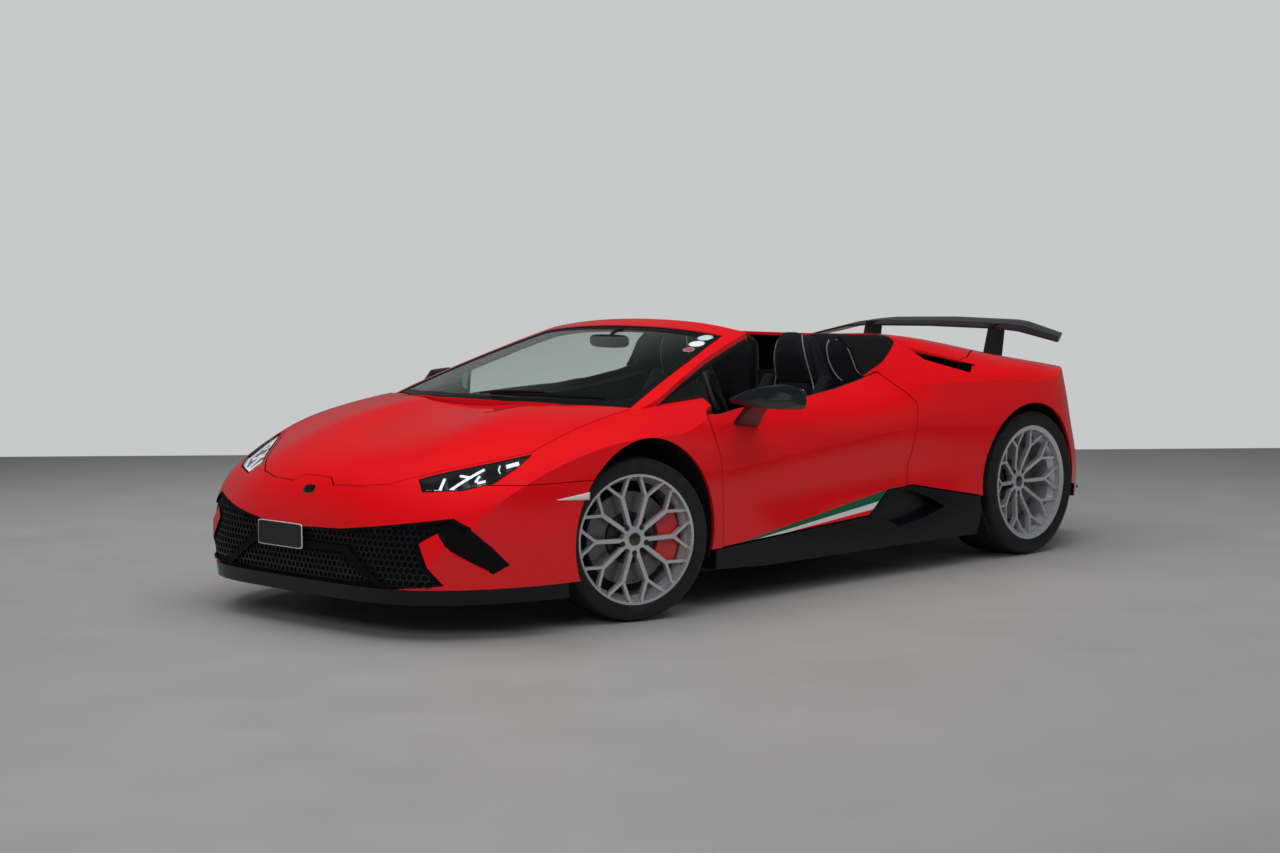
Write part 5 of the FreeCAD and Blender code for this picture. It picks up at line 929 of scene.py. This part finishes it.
# Stage: a floor whose far edge is the foot of the wall, and a world that is wall below and ceiling above
stageLook = {"floorHalf": 60.0, "floorBack": 5.75, "heading": -2.3634, "dark": rgb(0.30, 0.30, 0.30),
             "pale": rgb(0.36, 0.36, 0.36), "wall": rgb(0.58, 0.585, 0.59), "fill": 0.44, "mirrored": 0.20,
             "ceiling": rgb(0.10, 0.10, 0.105), "wallTop": 0.22, "ceilingFrom": 0.60}
away = np.array([np.cos(stageLook["heading"]), np.sin(stageLook["heading"]), 0.0])
across = np.array([-away[1], away[0], 0.0])
half, back = stageLook["floorHalf"], stageLook["floorBack"]
floorMesh = bpy.data.meshes.new("floor")
floorMesh.from_pydata([(along * away + wide * across).tolist() for along, wide in
                       ((-half, -half), (back, -half), (back, half), (-half, half))], [], [(0, 1, 2, 3)])
floor = bpy.data.objects.new("floor", floorMesh)
bpy.context.scene.collection.objects.link(floor)
spot, shader = newMaterial("floorGrey", stageLook["dark"], 0.55)
link(shader, Base_Color=spot.noise(1.5, 6.0).mixed(stageLook["dark"], stageLook["pale"]),
     Roughness=spot.noise(3.0, 5.0) * 0.2 + 0.45)
floorMesh.materials.append(finishes["floorGrey"])

# What the camera sees directly or through glass is the full wall; gloss sees less of it, and the light is the fill
world = bpy.data.worlds.new("studio")
bpy.context.scene.world = world
world.use_nodes = True
air = Wire(world.node_tree)
backdrop = world.node_tree.nodes["Background"]
cameraRays, glossyRays, throughRays = (air.node("LightPath", out="Is %s Ray" % kind)
                                       for kind in ("Camera", "Glossy", "Transmission"))
seen = air.maths("MAXIMUM", cameraRays, throughRays)
height = air.node("TexCoord", out="Generated").parts()[2]
wallOrCeiling = height.ease(stageLook["wallTop"], stageLook["ceilingFrom"])
plainRays = air.maths("MINIMUM", seen * (1.0 - stageLook["fill"]) + stageLook["fill"], 1.0)
mirrorShare = glossyRays * (1.0 - cameraRays) * (1.0 - throughRays)
link(backdrop, Color=wallOrCeiling.mixed(stageLook["wall"], stageLook["ceiling"]),
     Strength=plainRays * (1.0 - mirrorShare) + mirrorShare * stageLook["mirrored"])

# Square lamps: place, the point they look at, size, watts, and whether gloss and glass show them
lampPlan = {"overhead": ((0.3, 0.2, 6.0), (0.1, 0.0, 0.0), (10.0, 9.0), 520.0, False),
            "frontSide": ((6.5, 3.5, 3.6), (0.8, 0.3, 0.5), (3.5, 2.0), 110.0, False),
            "sideGlow": ((1.0, 6.5, 3.4), (0.6, 0.9, 0.5), (6.0, 1.3), 10.0, True),
            "windowStripLow": ((3.2, 4.9, 4.5), (1.8, 0.8, 0.5), (2.4, 0.10), 2.6, True),
            "windowStrip": ((3.4, 4.7, 4.9), (1.8, 0.8, 0.5), (2.4, 0.12), 3.4, True),
            "windowStripHigh": ((3.5, 4.4, 5.2), (1.8, 0.8, 0.5), (2.4, 0.08), 2.2, True),
            "rearSide": ((-5.0, 4.5, 3.0), (-1.0, 0.0, 0.6), (2.5, 0.5), 30.0, False),
            "farSide": ((1.0, -5.0, 3.4), (0.0, 0.0, 0.5), (4.0, 0.6), 40.0, False)}
for name, (place, target, size, power, mirrored) in lampPlan.items():
    light = bpy.data.lights.new(name, "AREA")
    light.shape = "RECTANGLE"
    light.size, light.size_y = size
    light.energy = power
    lamp = bpy.data.objects.new(name, light)
    lamp.location = place
    lamp.visible_glossy = lamp.visible_transmission = mirrored
    lamp.rotation_euler = (Vector(target) - Vector(place)).to_track_quat("-Z", "Y").to_euler()
    bpy.context.scene.collection.objects.link(lamp)

# Camera, solved from the photograph: place, heading, tilt and roll in radians, focal length in 1280-wide pixels
cameraFit = {"place": (7.70658, 7.29150, 1.50636), "yaw": -2.3634, "pitch": -0.0806, "roll": -0.0069,
             "focal": 2304.93, "wide": 1280.0, "sensor": 36.0, "far": 200.0}
level, slope = cameraFit["yaw"], cameraFit["pitch"]
forward = np.array([np.cos(slope) * np.cos(level), np.cos(slope) * np.sin(level), np.sin(slope)])
right = np.cross(forward, (0, 0, 1))
right /= np.linalg.norm(right)
upward = np.cross(right, forward)
c, s = np.cos(cameraFit["roll"]), np.sin(cameraFit["roll"])
cameraData = bpy.data.cameras.new("photoCamera")
cameraData.sensor_width = cameraFit["sensor"]
cameraData.lens = cameraFit["sensor"] * cameraFit["focal"] / cameraFit["wide"]
cameraData.clip_end = cameraFit["far"]
camera = bpy.data.objects.new("photoCamera", cameraData)
camera.matrix_world = Matrix.Translation(Vector(cameraFit["place"])) @ Matrix(
    np.column_stack([c * right + s * upward, c * upward - s * right, -forward]).tolist()).to_4x4()
bpy.context.scene.collection.objects.link(camera)
bpy.context.scene.camera = camera
bpy.context.scene.view_settings.view_transform = "Standard"
print("stage, lamps and camera done")
